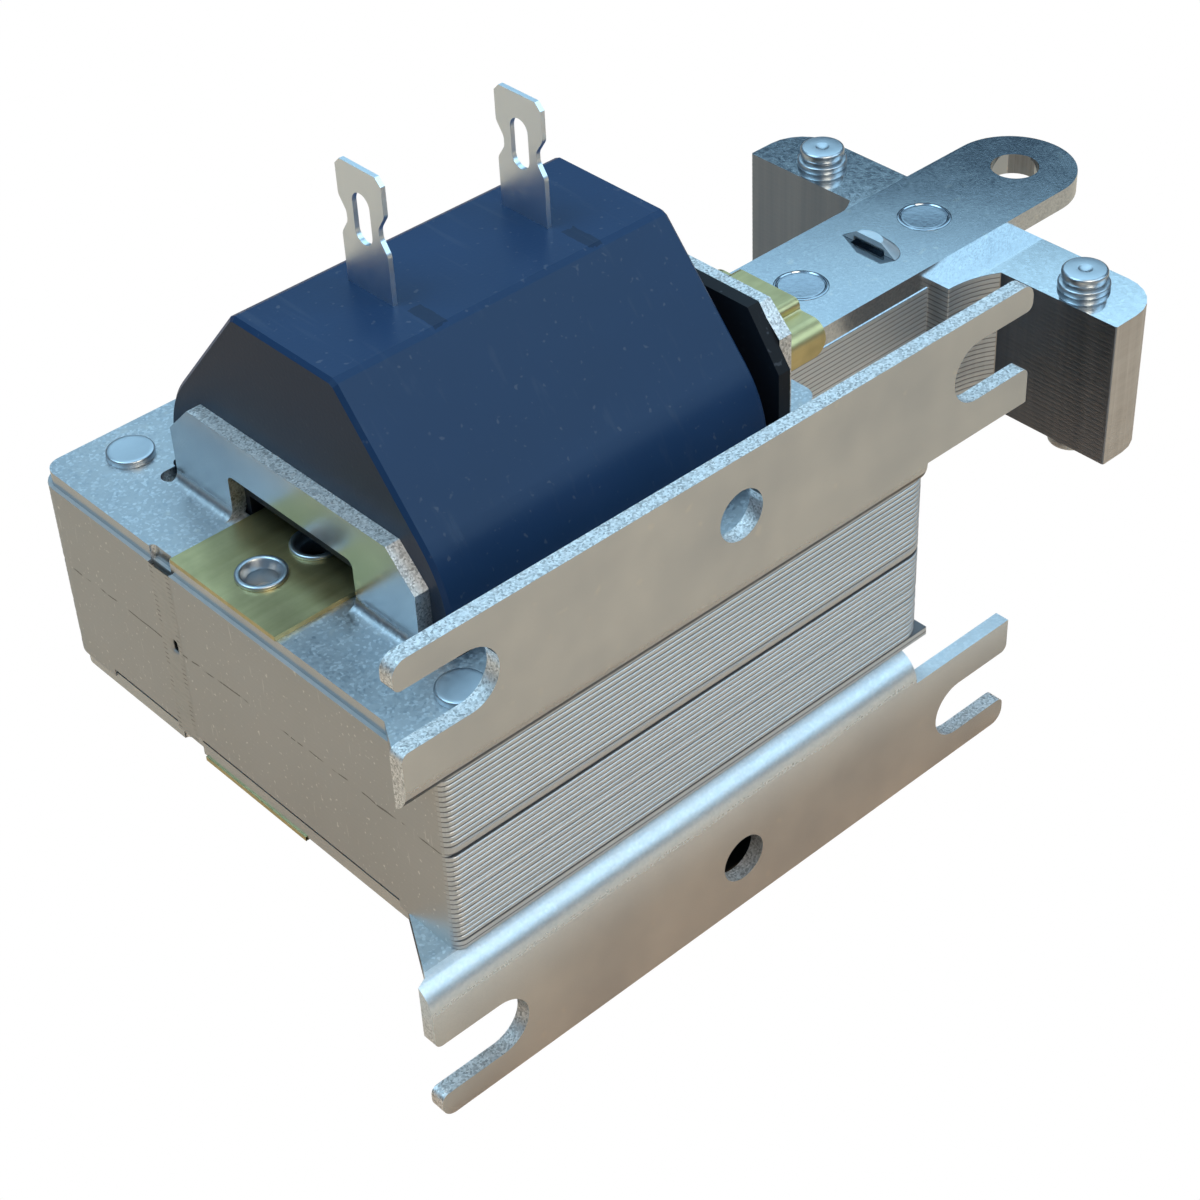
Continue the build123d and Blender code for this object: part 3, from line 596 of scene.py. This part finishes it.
def raised_stop(f):
    """1 on the pressed stop of a link plate, above the plate's own face, where a pale highlight is painted.
    """
    x, y, z = f.axes(f.place)
    middle_x = span("plunger_laminations")[1][0] - HEAD_DEPTH - ROOT_LENGTH - STOP_SET
    face = span("upper_link_plate")[0][2] + LINK
    along = abs(x - middle_x * MM) < STOP_HALF_LENGTH * MM
    across = abs(y - MID_Y * MM) < STOP_HALF_WIDTH * MM
    return along * across * (abs(z) > (face + 0.04) * MM)


def groove_shade_lines(z, low, pitch):
    """1 in the narrow line between two sheets where the groove's shade is painted dark, with z counted in
    sheets from the foot of the pack.
    """
    share = ((z - low * MM) * (1 / (pitch * MM))).math("FRACT")
    return ((abs(share - 0.5) - 0.36) * 14).clamp()


def sheet_edges(name, low, pitch):
    """Cut edges of stacked electrical steel: crisp dark lines of painted shade in the grooves between
    sheets, and a smooth ground yoke.

    The yoke has faint lines of painted groove shade, pale glints and scores, and a broken dark line of
    painted shade along the crack where the two packs meet.
    """
    f = Finish(name, metallic=1.0)
    layer = f.noise(1.0, 0, 0.5, vector=f.stretch((3, 3, 900)))
    drag = f.noise(1.0, 2, 0.6, vector=f.stretch((2600, 2600, 700)))
    patches = f.noise(60, 3, 0.6)
    _, _, z = f.axes(f.place)
    nx, _, nz = f.facing()
    ground = ((0 - nx) * 4 - 3).clamp()
    ledge = (abs(nz) > 0.9) * (z > (span("upper_lamination_pack")[1][2] - 0.05) * MM)
    lines = groove_shade_lines(z, low, pitch)
    glints = f.ramp(f.noise(2100, 1, 0.4), (0.68, 0.0), (0.76, 1.0))
    scores = f.ramp(f.noise(1.0, 1, 0.5, vector=f.stretch((1, 2400, 260))), (0.70, 0.0), (0.78, 1.0))
    color = f.blend(f.ramp(layer, (0.3, 0.0), (0.7, 1.0)), (0.60, 0.63, 0.66), (0.70, 0.73, 0.76))
    color = f.blend(patches * 0.2, color, (0.50, 0.50, 0.50))
    # Painted shade in the grooves between sheets
    color = f.blend(lines * 0.75, color, (0.10, 0.10, 0.11))
    yoke = f.blend(patches, (0.47, 0.47, 0.46), (0.56, 0.55, 0.54))
    wander = (f.noise(160, 2, 0.6) - 0.5) * (1.2 * MM)
    # Painted shade: a broken dark line along the crack where the two packs meet
    crack = abs(z + wander - PARTING_LEVEL * MM) < 0.09 * MM
    broken = f.ramp(f.noise(300, 2, 0.6), (0.44, 0.0), (0.50, 1.0))
    yoke = f.blend(crack * broken * 0.75, yoke, (0.12, 0.11, 0.10))
    # Faint painted groove shade on the ground yoke
    yoke = f.blend(lines * 0.03, yoke, (0.20, 0.19, 0.18))
    color = f.blend(ground, color, yoke)
    color = f.blend((glints * 0.6).larger(scores * 0.35) * ground, color, (0.88, 0.86, 0.82))
    f.set("Base Color", f.blend(ledge, color, (0.45, 0.46, 0.47)))
    f.set("Metallic", 1 - ledge * 0.5)
    f.set("Roughness", (0.48 + patches * 0.06 + lines * (1 - ground) * 0.2).clamp())
    f.bump(drag, 0.10, 0.00002)
    return f.material


def plunger_edges(name, low, pitch, head):
    """Plunger sheets: leg edges lined with painted groove shade, a streaked head with painted shade on its
    inner face, plated top and foot.
    """
    f = Finish(name, metallic=1.0)
    x, _, z = f.axes(f.place)
    nx, _, nz = f.facing()
    top = abs(nz) > 0.7
    on_leg = x < (head - 0.1) * MM
    layer = f.noise(1.0, 0, 0.5, vector=f.stretch((3, 3, 900)))
    streak = f.noise(1.0, 3, 0.65, vector=f.stretch((520, 520, 14)))
    hair = f.noise(1.0, 2, 0.6, vector=f.stretch((3200, 3200, 60)))
    clouds = f.noise(70, 3, 0.6)
    facet, spark, _ = f.cells(2400)
    side = f.blend(f.ramp(streak, (0.32, 0.0), (0.68, 1.0)), (0.40, 0.38, 0.37), (0.56, 0.54, 0.53))
    side = f.blend(f.ramp(hair, (0.60, 0.0), (0.75, 1.0)) * 0.5, side, (0.74, 0.73, 0.72))
    side = f.blend(f.ramp(layer, (0.3, 0.0), (0.7, 1.0)) * 0.25, side, (0.66, 0.66, 0.66))
    leg = f.blend(layer, (0.58, 0.62, 0.66), (0.70, 0.74, 0.78))
    # Painted shade in the grooves between the leg's sheets
    leg = f.blend(groove_shade_lines(z, low, pitch) * 0.7, leg, (0.12, 0.12, 0.13))
    side = f.blend(on_leg, side, leg)
    # Painted shade: the head's inner face, which faces the coil, is made dark
    inner = f.blend(streak, (0.16, 0.19, 0.24), (0.30, 0.33, 0.38))
    side = f.blend((nx < -0.6) * (1 - on_leg), side, inner)
    crown = f.blend(clouds, (0.56, 0.60, 0.63), (0.72, 0.75, 0.77))
    crown = f.blend(((facet - 0.7) * 2.5).clamp() * 0.4, crown, (0.80, 0.83, 0.86))
    f.set("Base Color", f.blend(top, side, crown))
    f.set("Roughness", f.blend(top, 0.26 + streak * 0.12 + on_leg * 0.12, 0.09 + spark * 0.05))
    f.bump(hair * (1 - top) * (1 - on_leg) + facet * 0.3 * top, 0.25, 0.00003)
    return f.material


def weld_metal(name, face, middle_y):
    """Weld metal: the tone of the ground yoke, with ticks of painted groove shade along both sides, and
    painted black shade where it sinks into its pit.
    """
    f = Finish(name, metallic=1.0)
    x, y, z = f.axes(f.place)
    # Painted shade: black where the weld sinks into its pit
    pit_shade = ((x - (face + 0.16) * MM) * (10 / MM)).clamp()
    rim = abs(abs(y - middle_y * MM) - 1.3 * MM) < 0.28 * MM
    grit = f.noise(900, 2, 0.6)
    uneven = f.ramp(f.noise(420, 1, 0.5), (0.4, 0.1), (0.6, 0.7))
    # Ticks of painted groove shade along both sides of the weld
    ticks = rim * groove_shade_lines(z, PARTING_LEVEL, SHEET) * uneven
    color = f.blend(grit, (0.44, 0.44, 0.43), (0.56, 0.55, 0.54))
    color = f.blend(ticks, color, (0.16, 0.15, 0.15))
    f.set("Base Color", f.blend(pit_shade, color, (0.02, 0.02, 0.02)))
    f.set("Roughness", (0.42 + grit * 0.08 + pit_shade * 0.4).clamp())
    f.bump(grit, 0.2, 0.00003)
    return f.material


def sink_mark_shade(f):
    """1 in the two shallow sink marks of the roof, one in front of each blade, with ragged ends, where shade
    is painted.
    """
    x, y, z = f.axes(f.place)
    ragged = (f.noise(900, 2, 0.6) - 0.5) * (1.2 * MM)
    front = (abs(y + ragged - (MID_Y - SINK_FRONT) * MM) < SINK_HALF_LENGTH * MM) * (z > ROOF_LEVEL * MM)
    marks = 0
    for blade in ("terminal_near", "terminal_far"):
        middle_x = middle(blade, 0) + SINK_SHIFT
        marks = (abs(x + ragged * 0.4 - middle_x * MM) < SINK_HALF_WIDTH * MM) + marks
    return front * marks


def black_moulding(name, color=(0.0092, 0.030, 0.080), roughness=0.30, marks=None):
    """Dark moulding: faint gloss, dust specks, hairline rubs, painted shade on the end faces and, where
    asked, painted shade of marks.
    """
    f = Finish(name, metallic=0.0)
    f.set("Specular IOR Level", 0.22)
    cloud = f.noise(45, 3, 0.6)
    dust = f.ramp(f.noise(1500, 1, 0.4), (0.70, 0.0), (0.78, 1.0))
    drawn = f.stretch((900, 60, 240), turn=(0.3, 0.2, 0.5))
    rubs = f.ramp(f.noise(1.0, 2, 0.6, vector=drawn), (0.62, 0.0), (0.72, 1.0))
    shade = f.blend(cloud, color, tuple(c * 1.5 for c in color))
    shade = f.blend(dust * 0.25, shade, (0.16, 0.18, 0.22))
    shade = f.blend(rubs * 0.07, shade, (0.10, 0.12, 0.16))
    nx, _, _ = f.facing()
    # Painted shade: both end faces darkened
    shade = f.blend((abs(nx) > 0.8) * 0.75, shade, (0.011, 0.015, 0.024))
    if marks:
        # Painted shade standing for the shallow sink marks, which have no dent in the shape
        shade = f.blend(marks(f) * 0.5, shade, (0.003, 0.008, 0.022))
    f.set("Base Color", shade)
    f.set("Roughness", (roughness + cloud * 0.10 - rubs * 0.06).clamp())
    f.bump(f.noise(2600, 2, 0.5), 0.28, 0.00003)
    return f.material


def rolled_brass(name):
    """Rolled brass gone olive: streaks along the roll, small dark stains, a dull sheen."""
    f = Finish(name, metallic=1.0)
    roll = f.noise(1.0, 3, 0.6, vector=f.stretch((60, 1400, 1400)))
    stain = f.ramp(f.noise(260, 3, 0.6), (0.45, 0.0), (0.75, 1.0))
    color = f.blend(roll, (0.50, 0.42, 0.19), (0.68, 0.58, 0.31))
    color = f.blend(stain * 0.35, color, (0.30, 0.27, 0.15))
    f.set("Base Color", color)
    f.set("Roughness", (0.30 + roll * 0.14 + stain * 0.08).clamp())
    f.bump(roll, 0.2, 0.00002)
    return f.material


def plain_metal(name, light, dark, roughness, scale=420.0):
    """A small plated or drawn part: two close tones in fine noise over a soft cloud."""
    f = Finish(name, metallic=1.0)
    fine = f.noise(scale * 4, 2, 0.6)
    cloud = f.noise(scale * 0.4, 2, 0.5)
    f.set("Base Color", f.blend(cloud, dark, light))
    f.set("Roughness", (roughness + (fine - 0.5) * 0.16).clamp())
    f.bump(fine, 0.25, 0.00002)
    return f.material


def wound_wire(name):
    """Layers of enamelled wire: ridges that run round the winding, one for each turn."""
    f = Finish(name, metallic=1.0)
    x, _, _ = f.axes(f.place)
    turn = (x * (2 * math.pi / (0.35 * MM))).math("SINE")
    wander = f.noise(240, 2, 0.5)
    f.set("Base Color", f.blend(wander, (0.50, 0.20, 0.09), (0.70, 0.34, 0.16)))
    f.set("Roughness", (0.28 + wander * 0.15).clamp())
    f.bump(turn, 0.6, 0.0001)
    return f.material


# Settings and steps


class SolenoidSettings(bpy.types.PropertyGroup):
    groove: bpy.props.FloatProperty(
        name="Sheet groove",
        description="Depth of the groove between two sheets, in millimetres",
        default=0.10,
        min=0.0,
        max=0.3,
    )
    jitter: bpy.props.FloatProperty(
        name="Sheet misfit",
        description="How far sheets stand in, in millimetres",
        default=0.02,
        min=0.0,
        max=0.1,
    )
    edge: bpy.props.FloatProperty(
        name="Broken edge",
        description="Width of the worn edge on plates and mouldings, in millimetres",
        default=0.14,
        min=0.02,
        max=0.3,
    )
    floor: bpy.props.FloatVectorProperty(
        name="Floor",
        description="Colour of the floor",
        subtype="COLOR",
        size=3,
        default=(0.70, 0.48, 0.33),
        min=0,
        max=1,
    )


def dress(node, material, edge=0.0):
    """Gives a CAD node its finish and, where asked, a narrow worn edge."""
    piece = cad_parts[node]
    piece.data.materials.clear()
    piece.data.materials.append(material)
    if edge:
        worn = piece.modifiers.new("worn_edge", "BEVEL")
        worn.width = edge * MM
        worn.segments = 2
        worn.limit_method = "ANGLE"
        worn.angle_limit = math.radians(40)


def finish_piece(piece, material, body, slot, *nodes):
    """Gives a new piece its finish, the body it rides on and the CAD nodes that it replaces; slot is not
    used.
    """
    piece.data.materials.append(material)
    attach(piece, body)
    if nodes:
        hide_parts(*nodes)


def frame_outline():
    """Corners and radii of a frame sheet: a C round the coil, notched for the weld and the shading rings."""
    low, high = span("upper_lamination_pack")
    near, far, front, back = low[0], high[0], low[1], high[1]
    window_near = near + YOKE
    leg = (back - front) / 2 - LEG
    weld = MID_Y + WELD_SHIFT
    notch = RING_NOTCH_DEPTH
    half = RING_NOTCH / 2
    start = MID_Y - RING_NOTCHES[0] - half
    swing = np.linspace(-math.pi / 2, math.asin((start - front) / FAR_ROUND - 1), 9)
    x_arc = far - FAR_ROUND + FAR_ROUND * np.cos(swing)
    y_arc = front + FAR_ROUND + FAR_ROUND * np.sin(swing)
    edges = [(near, front, NEAR_ROUND)]
    edges += [(x, y, 0.01) for x, y in zip(x_arc, y_arc)]
    edges += notch_corners(far, MID_Y - RING_NOTCHES[0], notch, half)[1:]
    edges += notch_corners(far, MID_Y - RING_NOTCHES[1], notch, half)
    edges += [(far, MID_Y - leg, 0.05), (window_near, MID_Y - leg, 0.3)]
    edges += [(window_near, MID_Y + leg, 0.3), (far, MID_Y + leg, 0.05)]
    edges += notch_corners(far, MID_Y + RING_NOTCHES[1], notch, half)
    edges += notch_corners(far, MID_Y + RING_NOTCHES[0], notch, half)[:-1]
    edges += [(x, 2 * MID_Y - y, 0.01) for x, y in zip(x_arc[::-1], y_arc[::-1])]
    edges += [(near, back, BACK_ROUND)]
    edges += [(near, weld + WELD / 2, 0.05), (near + WELD_DEPTH, weld + WELD / 2, 0.1)]
    edges += [(near + WELD_DEPTH, weld - WELD / 2, 0.1), (near, weld - WELD / 2, 0.05)]
    edges = np.array(edges)
    return edges[:, :2], edges[:, 2]


def notch_corners(face, middle_y, depth, half):
    """Corners of a square notch cut into the far face, taken from low Y to high Y."""
    sides = ((face, -half), (face - depth, -half), (face - depth, half), (face, half))
    return [(x, middle_y + y, 0.03) for x, y in sides]


def tee_outline():
    """Corners and radii of a plunger sheet: leg, step, flared root and head."""
    low, high = span("plunger_laminations")
    x_leg, x_out = low[0], high[0]
    x_in = x_out - HEAD_DEPTH
    half = (high[1] - low[1]) / 2
    x_root = x_in - ROOT_LENGTH
    reach = np.linspace(0, 1, 7)[1:] * ROOT_LENGTH
    radius = (ROOT_LENGTH**2 + ROOT_FLARE**2) / (2 * ROOT_FLARE)
    flare = ROOT_HALF + radius - np.sqrt(radius**2 - reach**2)
    x_step = x_root - STEP_GAP
    y_step = LEG_HALF - STEP_DEPTH
    side = [(x_leg, LEG_HALF, 0.1), (x_step, LEG_HALF, 0.1), (x_step, y_step, 0.1)]
    side += [(x_root, y_step, 0.1), (x_root, ROOT_HALF, 0.15)]
    side += [(x_root + x, y, 0.02) for x, y in zip(reach, flare)]
    side += [(x_in, half, 0.25), (x_out, half, 5.0)]
    side = np.array(side)
    side[:, 1] *= -1
    other = side[::-1] * (1, -1, 1)
    edges = np.concatenate([side, other])
    edges[:, 1] += MID_Y
    return edges[:, :2], edges[:, 2]


class SolenoidStacks(bpy.types.Operator):
    """Stacks the frame's and the plunger's sheets and lays the weld across them"""

    bl_idname = "solenoid.stacks"
    bl_label = "Sheet Stacks"

    def execute(self, context):
        s = context.scene.solenoid
        corners, radii = frame_outline()
        near = corners[:, 0].min()

        def quiet(outline):
            return np.clip((outline[:, 0] - near - 0.1) / 0.8, 0.0, 1.0)

        stacks = (
            ("upper_lamination_pack", UPPER_COUNT, 0.0, 1),
            ("centre_plate", 1, 0.0, 2),
            ("lower_lamination_pack", LOWER_COUNT, PARTING, 3),
        )
        for node, count, parting, seed in stacks:
            low, high = span(node)
            pitch = (high[2] - low[2] - parting) / count
            steel = sheet_edges("edges_" + node, low[2], pitch)
            sizes = (low[2], count, pitch, s.groove, s.jitter)
            piece = sheet_stack("stack_" + node, corners, radii, *sizes, quiet, seed, parting)
            finish_piece(piece, steel, STATOR, "core_steel", node)
        dress("leg_strips", steel, s.edge)
        corners, radii = tee_outline()
        head = corners[:, 0].max() - HEAD_DEPTH

        def smooth_head(outline):
            return np.where(outline[:, 0] > head - 0.05, 0.12, 0.4)

        low, high = span("plunger_laminations")
        count = round((high[2] - low[2]) / SHEET)
        pitch = (high[2] - low[2]) / count
        sizes = (low[2], count, pitch, s.groove, s.jitter)
        piece = sheet_stack("stack_plunger", corners, radii, *sizes, smooth_head, 5, 0.0)
        edges = plunger_edges("plunger_sheet_edges", low[2], pitch, head)
        finish_piece(piece, edges, PLUNGER, "plunger_steel", "plunger_laminations")
        bead = weld_bead("weld_bead", near - 0.01, MID_Y + WELD_SHIFT)
        finish_piece(bead, weld_metal("weld_metal", near, MID_Y + WELD_SHIFT), STATOR, "core_steel")
        return {"FINISHED"}


def two_ends(node_box, half, axis=0):
    """Centres of a node's outermost round heads along an axis, half a head in from the ends of its box."""
    low, high = node_box
    return low[axis] + half, high[axis] - half


def frame_rivet_heads(metal):
    """The four frame rivets: a flat head with a rolled rim, over a shank that runs through the packs."""
    box = span("frame_rivets")
    half = FRAME_RIVET / 2
    seat = span("upper_guide_eyelets")[0][2] + BRACKET
    top = box[1][2]
    rows = (
        (0, 0, 0),
        (1.7, 0, 0.01),
        (1.7, seat, 0.01),
        (half, seat, 0.05),
        (half, top, 0.2),
        (1.9, top, 0.01),
        (1.7, top - 0.005, 0.01),
        (0, top - 0.01, 0),
    )
    spots = [(x, y) for x in two_ends(box, half) for y in two_ends(box, half, 1)]
    piece = turned_pairs("turned_frame_rivets", spots, rows)
    finish_piece(piece, metal, STATOR, "rivet_steel", "frame_rivets")


def guide_eyelets(node, below, metal):
    """Two rolled eyelets of a guide, open in the middle, with a lip that rolls down into the bore."""
    box = span(node)
    half = EYELET / 2
    base, lip = sorted((abs(box[0][2]), abs(box[1][2])))
    seat = lip - EYELET_LIP
    rows = (
        (1.5, base, 0.01),
        (2.0, base, 0.01),
        (2.0, seat, 0.01),
        (half, seat, 0.05),
        (half, lip, 0.2),
        (2.0, lip, 0.25),
        (1.5, lip - 0.9, 0.4),
    )
    spots = [(x, MID_Y) for x in two_ends(box, half)]
    piece = turned("turned_" + node, spots, ring_profile(rows), flip=(0, 1) if below else ())
    finish_piece(piece, metal, STATOR, "eyelet_steel", node)


def link_rivet_discs():
    """The two countersunk link rivets: flush discs with a fine groove just inside the rim."""
    box = span("link_rivets")
    half = LINK_RIVET / 2
    face = box[1][2] - 0.06
    rows = (
        (0, 0, 0),
        (2.0, 0, 0.01),
        (2.0, face - 0.9, 0.01),
        (half, face - 0.02, 0.02),
        (2.72, face, 0.03),
        (2.62, face - 0.12, 0.05),
        (2.45, face - 0.03, 0.08),
        (2.2, face - 0.034, 0.01),
        (0, face - 0.04, 0),
    )
    spots = [(x, MID_Y) for x in two_ends(box, half)]
    piece = turned_pairs("turned_link_rivets", spots, rows)
    disc = plain_metal("link_rivet_steel", (0.44, 0.49, 0.54), (0.34, 0.39, 0.45), 0.16)
    finish_piece(piece, disc, PLUNGER, "rivet_steel", "link_rivets")


def head_stud_ends(metal):
    """The two studs of the T head: a foot, a groove round the waist and a dished cap."""
    box = span("head_studs")
    half = STUD / 2
    head = span("plunger_laminations")[1][2]
    top = box[1][2]
    rise = top - head
    rows = (
        (0, 0, 0),
        (2.0, 0, 0.01),
        (2.0, head, 0.01),
        (half, head, 0.1),
        (half, head + 0.34 * rise, 0.2),
        (2.1, head + 0.40 * rise, 0.15),
        (2.1, head + 0.52 * rise, 0.15),
        (2.5, head + 0.56 * rise, 0.15),
        (2.5, top, 0.35),
        (0.8, top, 0.2),
        (0, top - 0.35, 0),
    )
    spots = [(box[0][0] + half, y) for y in two_ends(box, half, 1)]
    piece = turned_pairs("turned_head_studs", spots, rows)
    finish_piece(piece, metal, PLUNGER, "rivet_steel", "head_studs")


class SolenoidBrackets(bpy.types.Operator):
    """Plates the brackets and links and heads their rivets, eyelets and studs"""

    bl_idname = "solenoid.brackets"
    bl_label = "Brackets and Links"

    def execute(self, context):
        s = context.scene.solenoid
        plate = zinc_sheet("bracket_zinc", bracket_edges, bend=bracket_bend_light)
        tones = {"tint": (0.50, 0.54, 0.57), "shade": (0.40, 0.44, 0.48), "grain": 0.2, "dull": 0.08}
        strap = zinc_sheet("link_zinc", strap_edges, stop_highlight=raised_stop, **tones)
        for node in ("top_bracket", "bottom_bracket"):
            dress(node, plate, s.edge)
        for node in ("upper_link_plate", "lower_link_plate"):
            dress(node, strap, s.edge)
        rivet = plain_metal("rivet_plating", (0.62, 0.67, 0.71), (0.46, 0.51, 0.56), 0.36)
        frame_rivet_heads(rivet)
        guide_eyelets("upper_guide_eyelets", False, rivet)
        guide_eyelets("lower_guide_eyelets", True, rivet)
        link_rivet_discs()
        head_stud_ends(rivet)
        return {"FINISHED"}


class SolenoidCoil(bpy.types.Operator):
    """Finishes the case, bobbin, winding, leads and terminals"""

    bl_idname = "solenoid.coil"
    bl_label = "Coil"

    def execute(self, context):
        s = context.scene.solenoid
        dress("coil_case", black_moulding("case_moulding", marks=sink_mark_shade), 2 * s.edge)
        dress("bobbin", black_moulding("bobbin_moulding", (0.008, 0.009, 0.012), 0.5), s.edge)
        wire = wound_wire("winding_wire")
        dress("coil_winding", wire)
        dress("coil_leads", wire)
        dress("shading_rings", plain_metal("ring_copper", (0.72, 0.38, 0.22), (0.55, 0.26, 0.14), 0.3))
        blade = plain_metal("blade_tin", (0.84, 0.88, 0.92), (0.72, 0.77, 0.82), 0.34, 200)
        dress("terminal_near", blade, s.edge / 2)
        dress("terminal_far", blade, s.edge / 2)
        return {"FINISHED"}


class SolenoidGuides(bpy.types.Operator):
    """Finishes the brass guides"""

    bl_idname = "solenoid.guides"
    bl_label = "Guides"

    def execute(self, context):
        brass = rolled_brass("guide_brass")
        dress("upper_guide", brass, context.scene.solenoid.edge / 2)
        dress("lower_guide", brass, context.scene.solenoid.edge / 2)
        return {"FINISHED"}


def sky_colour(tree):
    """Soft surroundings: cool from above, warm and pale from below, white where the camera looks."""
    back = tree.nodes["Background"]
    around = tree.nodes.new("ShaderNodeTexCoord")
    split = tree.nodes.new("ShaderNodeSeparateXYZ")
    ramp = tree.nodes.new("ShaderNodeValToRGB")
    lift = tree.nodes.new("ShaderNodeMath")
    lift.operation = "MULTIPLY_ADD"
    lift.inputs[1].default_value = 0.5
    lift.inputs[2].default_value = 0.5
    tree.links.new(around.outputs["Generated"], split.inputs[0])
    tree.links.new(split.outputs["Z"], lift.inputs[0])
    tree.links.new(lift.outputs[0], ramp.inputs["Fac"])
    set_stops(ramp.color_ramp, SKY)
    path = tree.nodes.new("ShaderNodeLightPath")
    mix = tree.nodes.new("ShaderNodeMix")
    mix.data_type = "RGBA"
    tree.links.new(path.outputs["Is Camera Ray"], mix.inputs[0])
    tree.links.new(ramp.outputs[0], mix.inputs[6])
    mix.inputs[7].default_value = (1, 1, 1, 1)
    tree.links.new(mix.outputs[2], back.inputs["Color"])
    back.inputs["Strength"].default_value = 1.0


def standing(right, up, back, place):
    """The matrix of a lamp or camera from its three axes and its place, in metres."""
    return Matrix([*zip(right, up, back, place), (0, 0, 0, 1)])


def lamp(name, place, target, size, power, color):
    """A soft square lamp, facing its target; places in millimetres."""
    data = bpy.data.lights.new(name, "AREA")
    data.shape = "SQUARE"
    data.size = size * MM
    data.energy = power
    data.color = color
    light = bpy.data.objects.new(name, data)
    bpy.context.scene.collection.objects.link(light)
    place, target = (np.array(p, float) * MM for p in (place, target))
    back = (place - target) / np.linalg.norm(place - target)
    side = np.cross((0, 0, 1), back)
    side /= np.linalg.norm(side)
    up = np.cross(back, side)
    light.matrix_world = standing(side, up, back, place)


def placed(aim, azimuth, elevation, distance):
    """A place as seen from the aim: azimuth from +X towards +Y and elevation, in degrees."""
    azimuth, elevation = math.radians(azimuth), math.radians(elevation)
    flat = math.cos(elevation)
    way = (flat * math.cos(azimuth), flat * math.sin(azimuth), math.sin(elevation))
    return tuple(a + distance * w for a, w in zip(aim, way))


class SolenoidStage(bpy.types.Operator):
    """Sets the floor, lamps, world and camera"""

    bl_idname = "solenoid.stage"
    bl_label = "Stage"

    def execute(self, context):
        s = context.scene.solenoid
        level = CAD_BOX[0][2] / MM - FLOOR_DROP
        square = ((-1, -1), (1, -1), (1, 1), (-1, 1))
        corners = np.array([(x * FLOOR_REACH, y * FLOOR_REACH, level) for x, y in square])
        floor = mesh_from("floor", corners, [np.arange(4)[None]])
        f = Finish("floor_paper", roughness=0.9)
        x, y, _ = f.axes(f.place)
        (x_mid, y_mid), (x_half, y_half) = SHADOW_FOOTPRINT
        out = (abs(x - x_mid * MM) - x_half * MM).larger(abs(y - y_mid * MM) - y_half * MM)
        # Painted shadow: the floor under the body is near black and gives no glow
        shade = ((0 - out) * (1 / (SHADOW_FADE * MM))).clamp()
        paper = f.blend(f.noise(8, 2, 0.5) * 0.06, tuple(s.floor), (0.70, 0.66, 0.60))
        f.set("Base Color", f.blend(shade, paper, (0.003, 0.003, 0.004)))
        f.set("Emission Color", f.blend(shade, tuple(s.floor), (0.0, 0.0, 0.0)))
        f.set("Emission Strength", 0.12)
        (x_mid, y_mid), (x_half, y_half) = DARK_PATCH
        hole = (abs(x - x_mid * MM) < x_half * MM) * (abs(y - y_mid * MM) < y_half * MM)
        glow = f.add("ShaderNodeEmission", sockets={"Color": (1, 1, 1, 1), "Strength": 1.0}, out="Emission")
        seen = f.add("ShaderNodeLightPath", out="Is Camera Ray")
        output = f.tree.nodes["Material Output"]
        mixed = f.add("ShaderNodeMixShader", sockets={0: seen * (1 - hole)})
        f.tree.links.new(f.shader.outputs[0], mixed.socket.node.inputs[1])
        f.tree.links.new(glow.socket, mixed.socket.node.inputs[2])
        f.tree.links.new(mixed.socket, output.inputs["Surface"])
        floor.data.materials.append(f.material)

        world = bpy.data.worlds.new("studio")
        context.scene.world = world
        world.use_nodes = True
        sky_colour(world.node_tree)

        for name, (azimuth, elevation, distance, *rest) in LAMPS.items():
            lamp(name, placed(AIM, azimuth, elevation, distance), AIM, *rest)
        lamp("floor_lamp", *FLOOR_LAMP)

        data = bpy.data.cameras.new("camera")
        data.sensor_width = 36.0
        data.lens = CAMERA_LENS
        data.clip_start = 0.01
        data.clip_end = 20.0
        camera = bpy.data.objects.new("camera", data)
        context.scene.collection.objects.link(camera)
        up = [-v for v in CAMERA_DOWN]
        back = [-v for v in CAMERA_AHEAD]
        camera.matrix_world = standing(CAMERA_RIGHT, up, back, CAMERA_PLACE)
        context.scene.camera = camera
        context.scene.view_settings.view_transform = "Standard"
        return {"FINISHED"}


class SolenoidPanel(bpy.types.Panel):
    """Lists the solenoid's steps and sizes"""

    bl_idname = "VIEW3D_PT_solenoid"
    bl_label = "Solenoid"
    bl_space_type = "VIEW_3D"
    bl_region_type = "UI"
    bl_category = "Solenoid"

    def draw(self, context):
        for label in SolenoidSettings.__annotations__:
            self.layout.prop(context.scene.solenoid, label)
        for step in STEPS:
            self.layout.operator(step.bl_idname)


STEPS = (SolenoidStacks, SolenoidBrackets, SolenoidCoil, SolenoidGuides, SolenoidStage)
CLASSES = (SolenoidSettings, *STEPS, SolenoidPanel)


def register():
    for cls in CLASSES:
        bpy.utils.register_class(cls)
    bpy.types.Scene.solenoid = bpy.props.PointerProperty(type=SolenoidSettings)


def unregister():
    del bpy.types.Scene.solenoid
    for cls in reversed(CLASSES):
        bpy.utils.unregister_class(cls)


def main():
    register()
    bpy.ops.solenoid.stacks()
    bpy.ops.solenoid.brackets()
    bpy.ops.solenoid.coil()
    bpy.ops.solenoid.guides()
    bpy.ops.solenoid.stage()


if __name__ == "__main__":
    main()
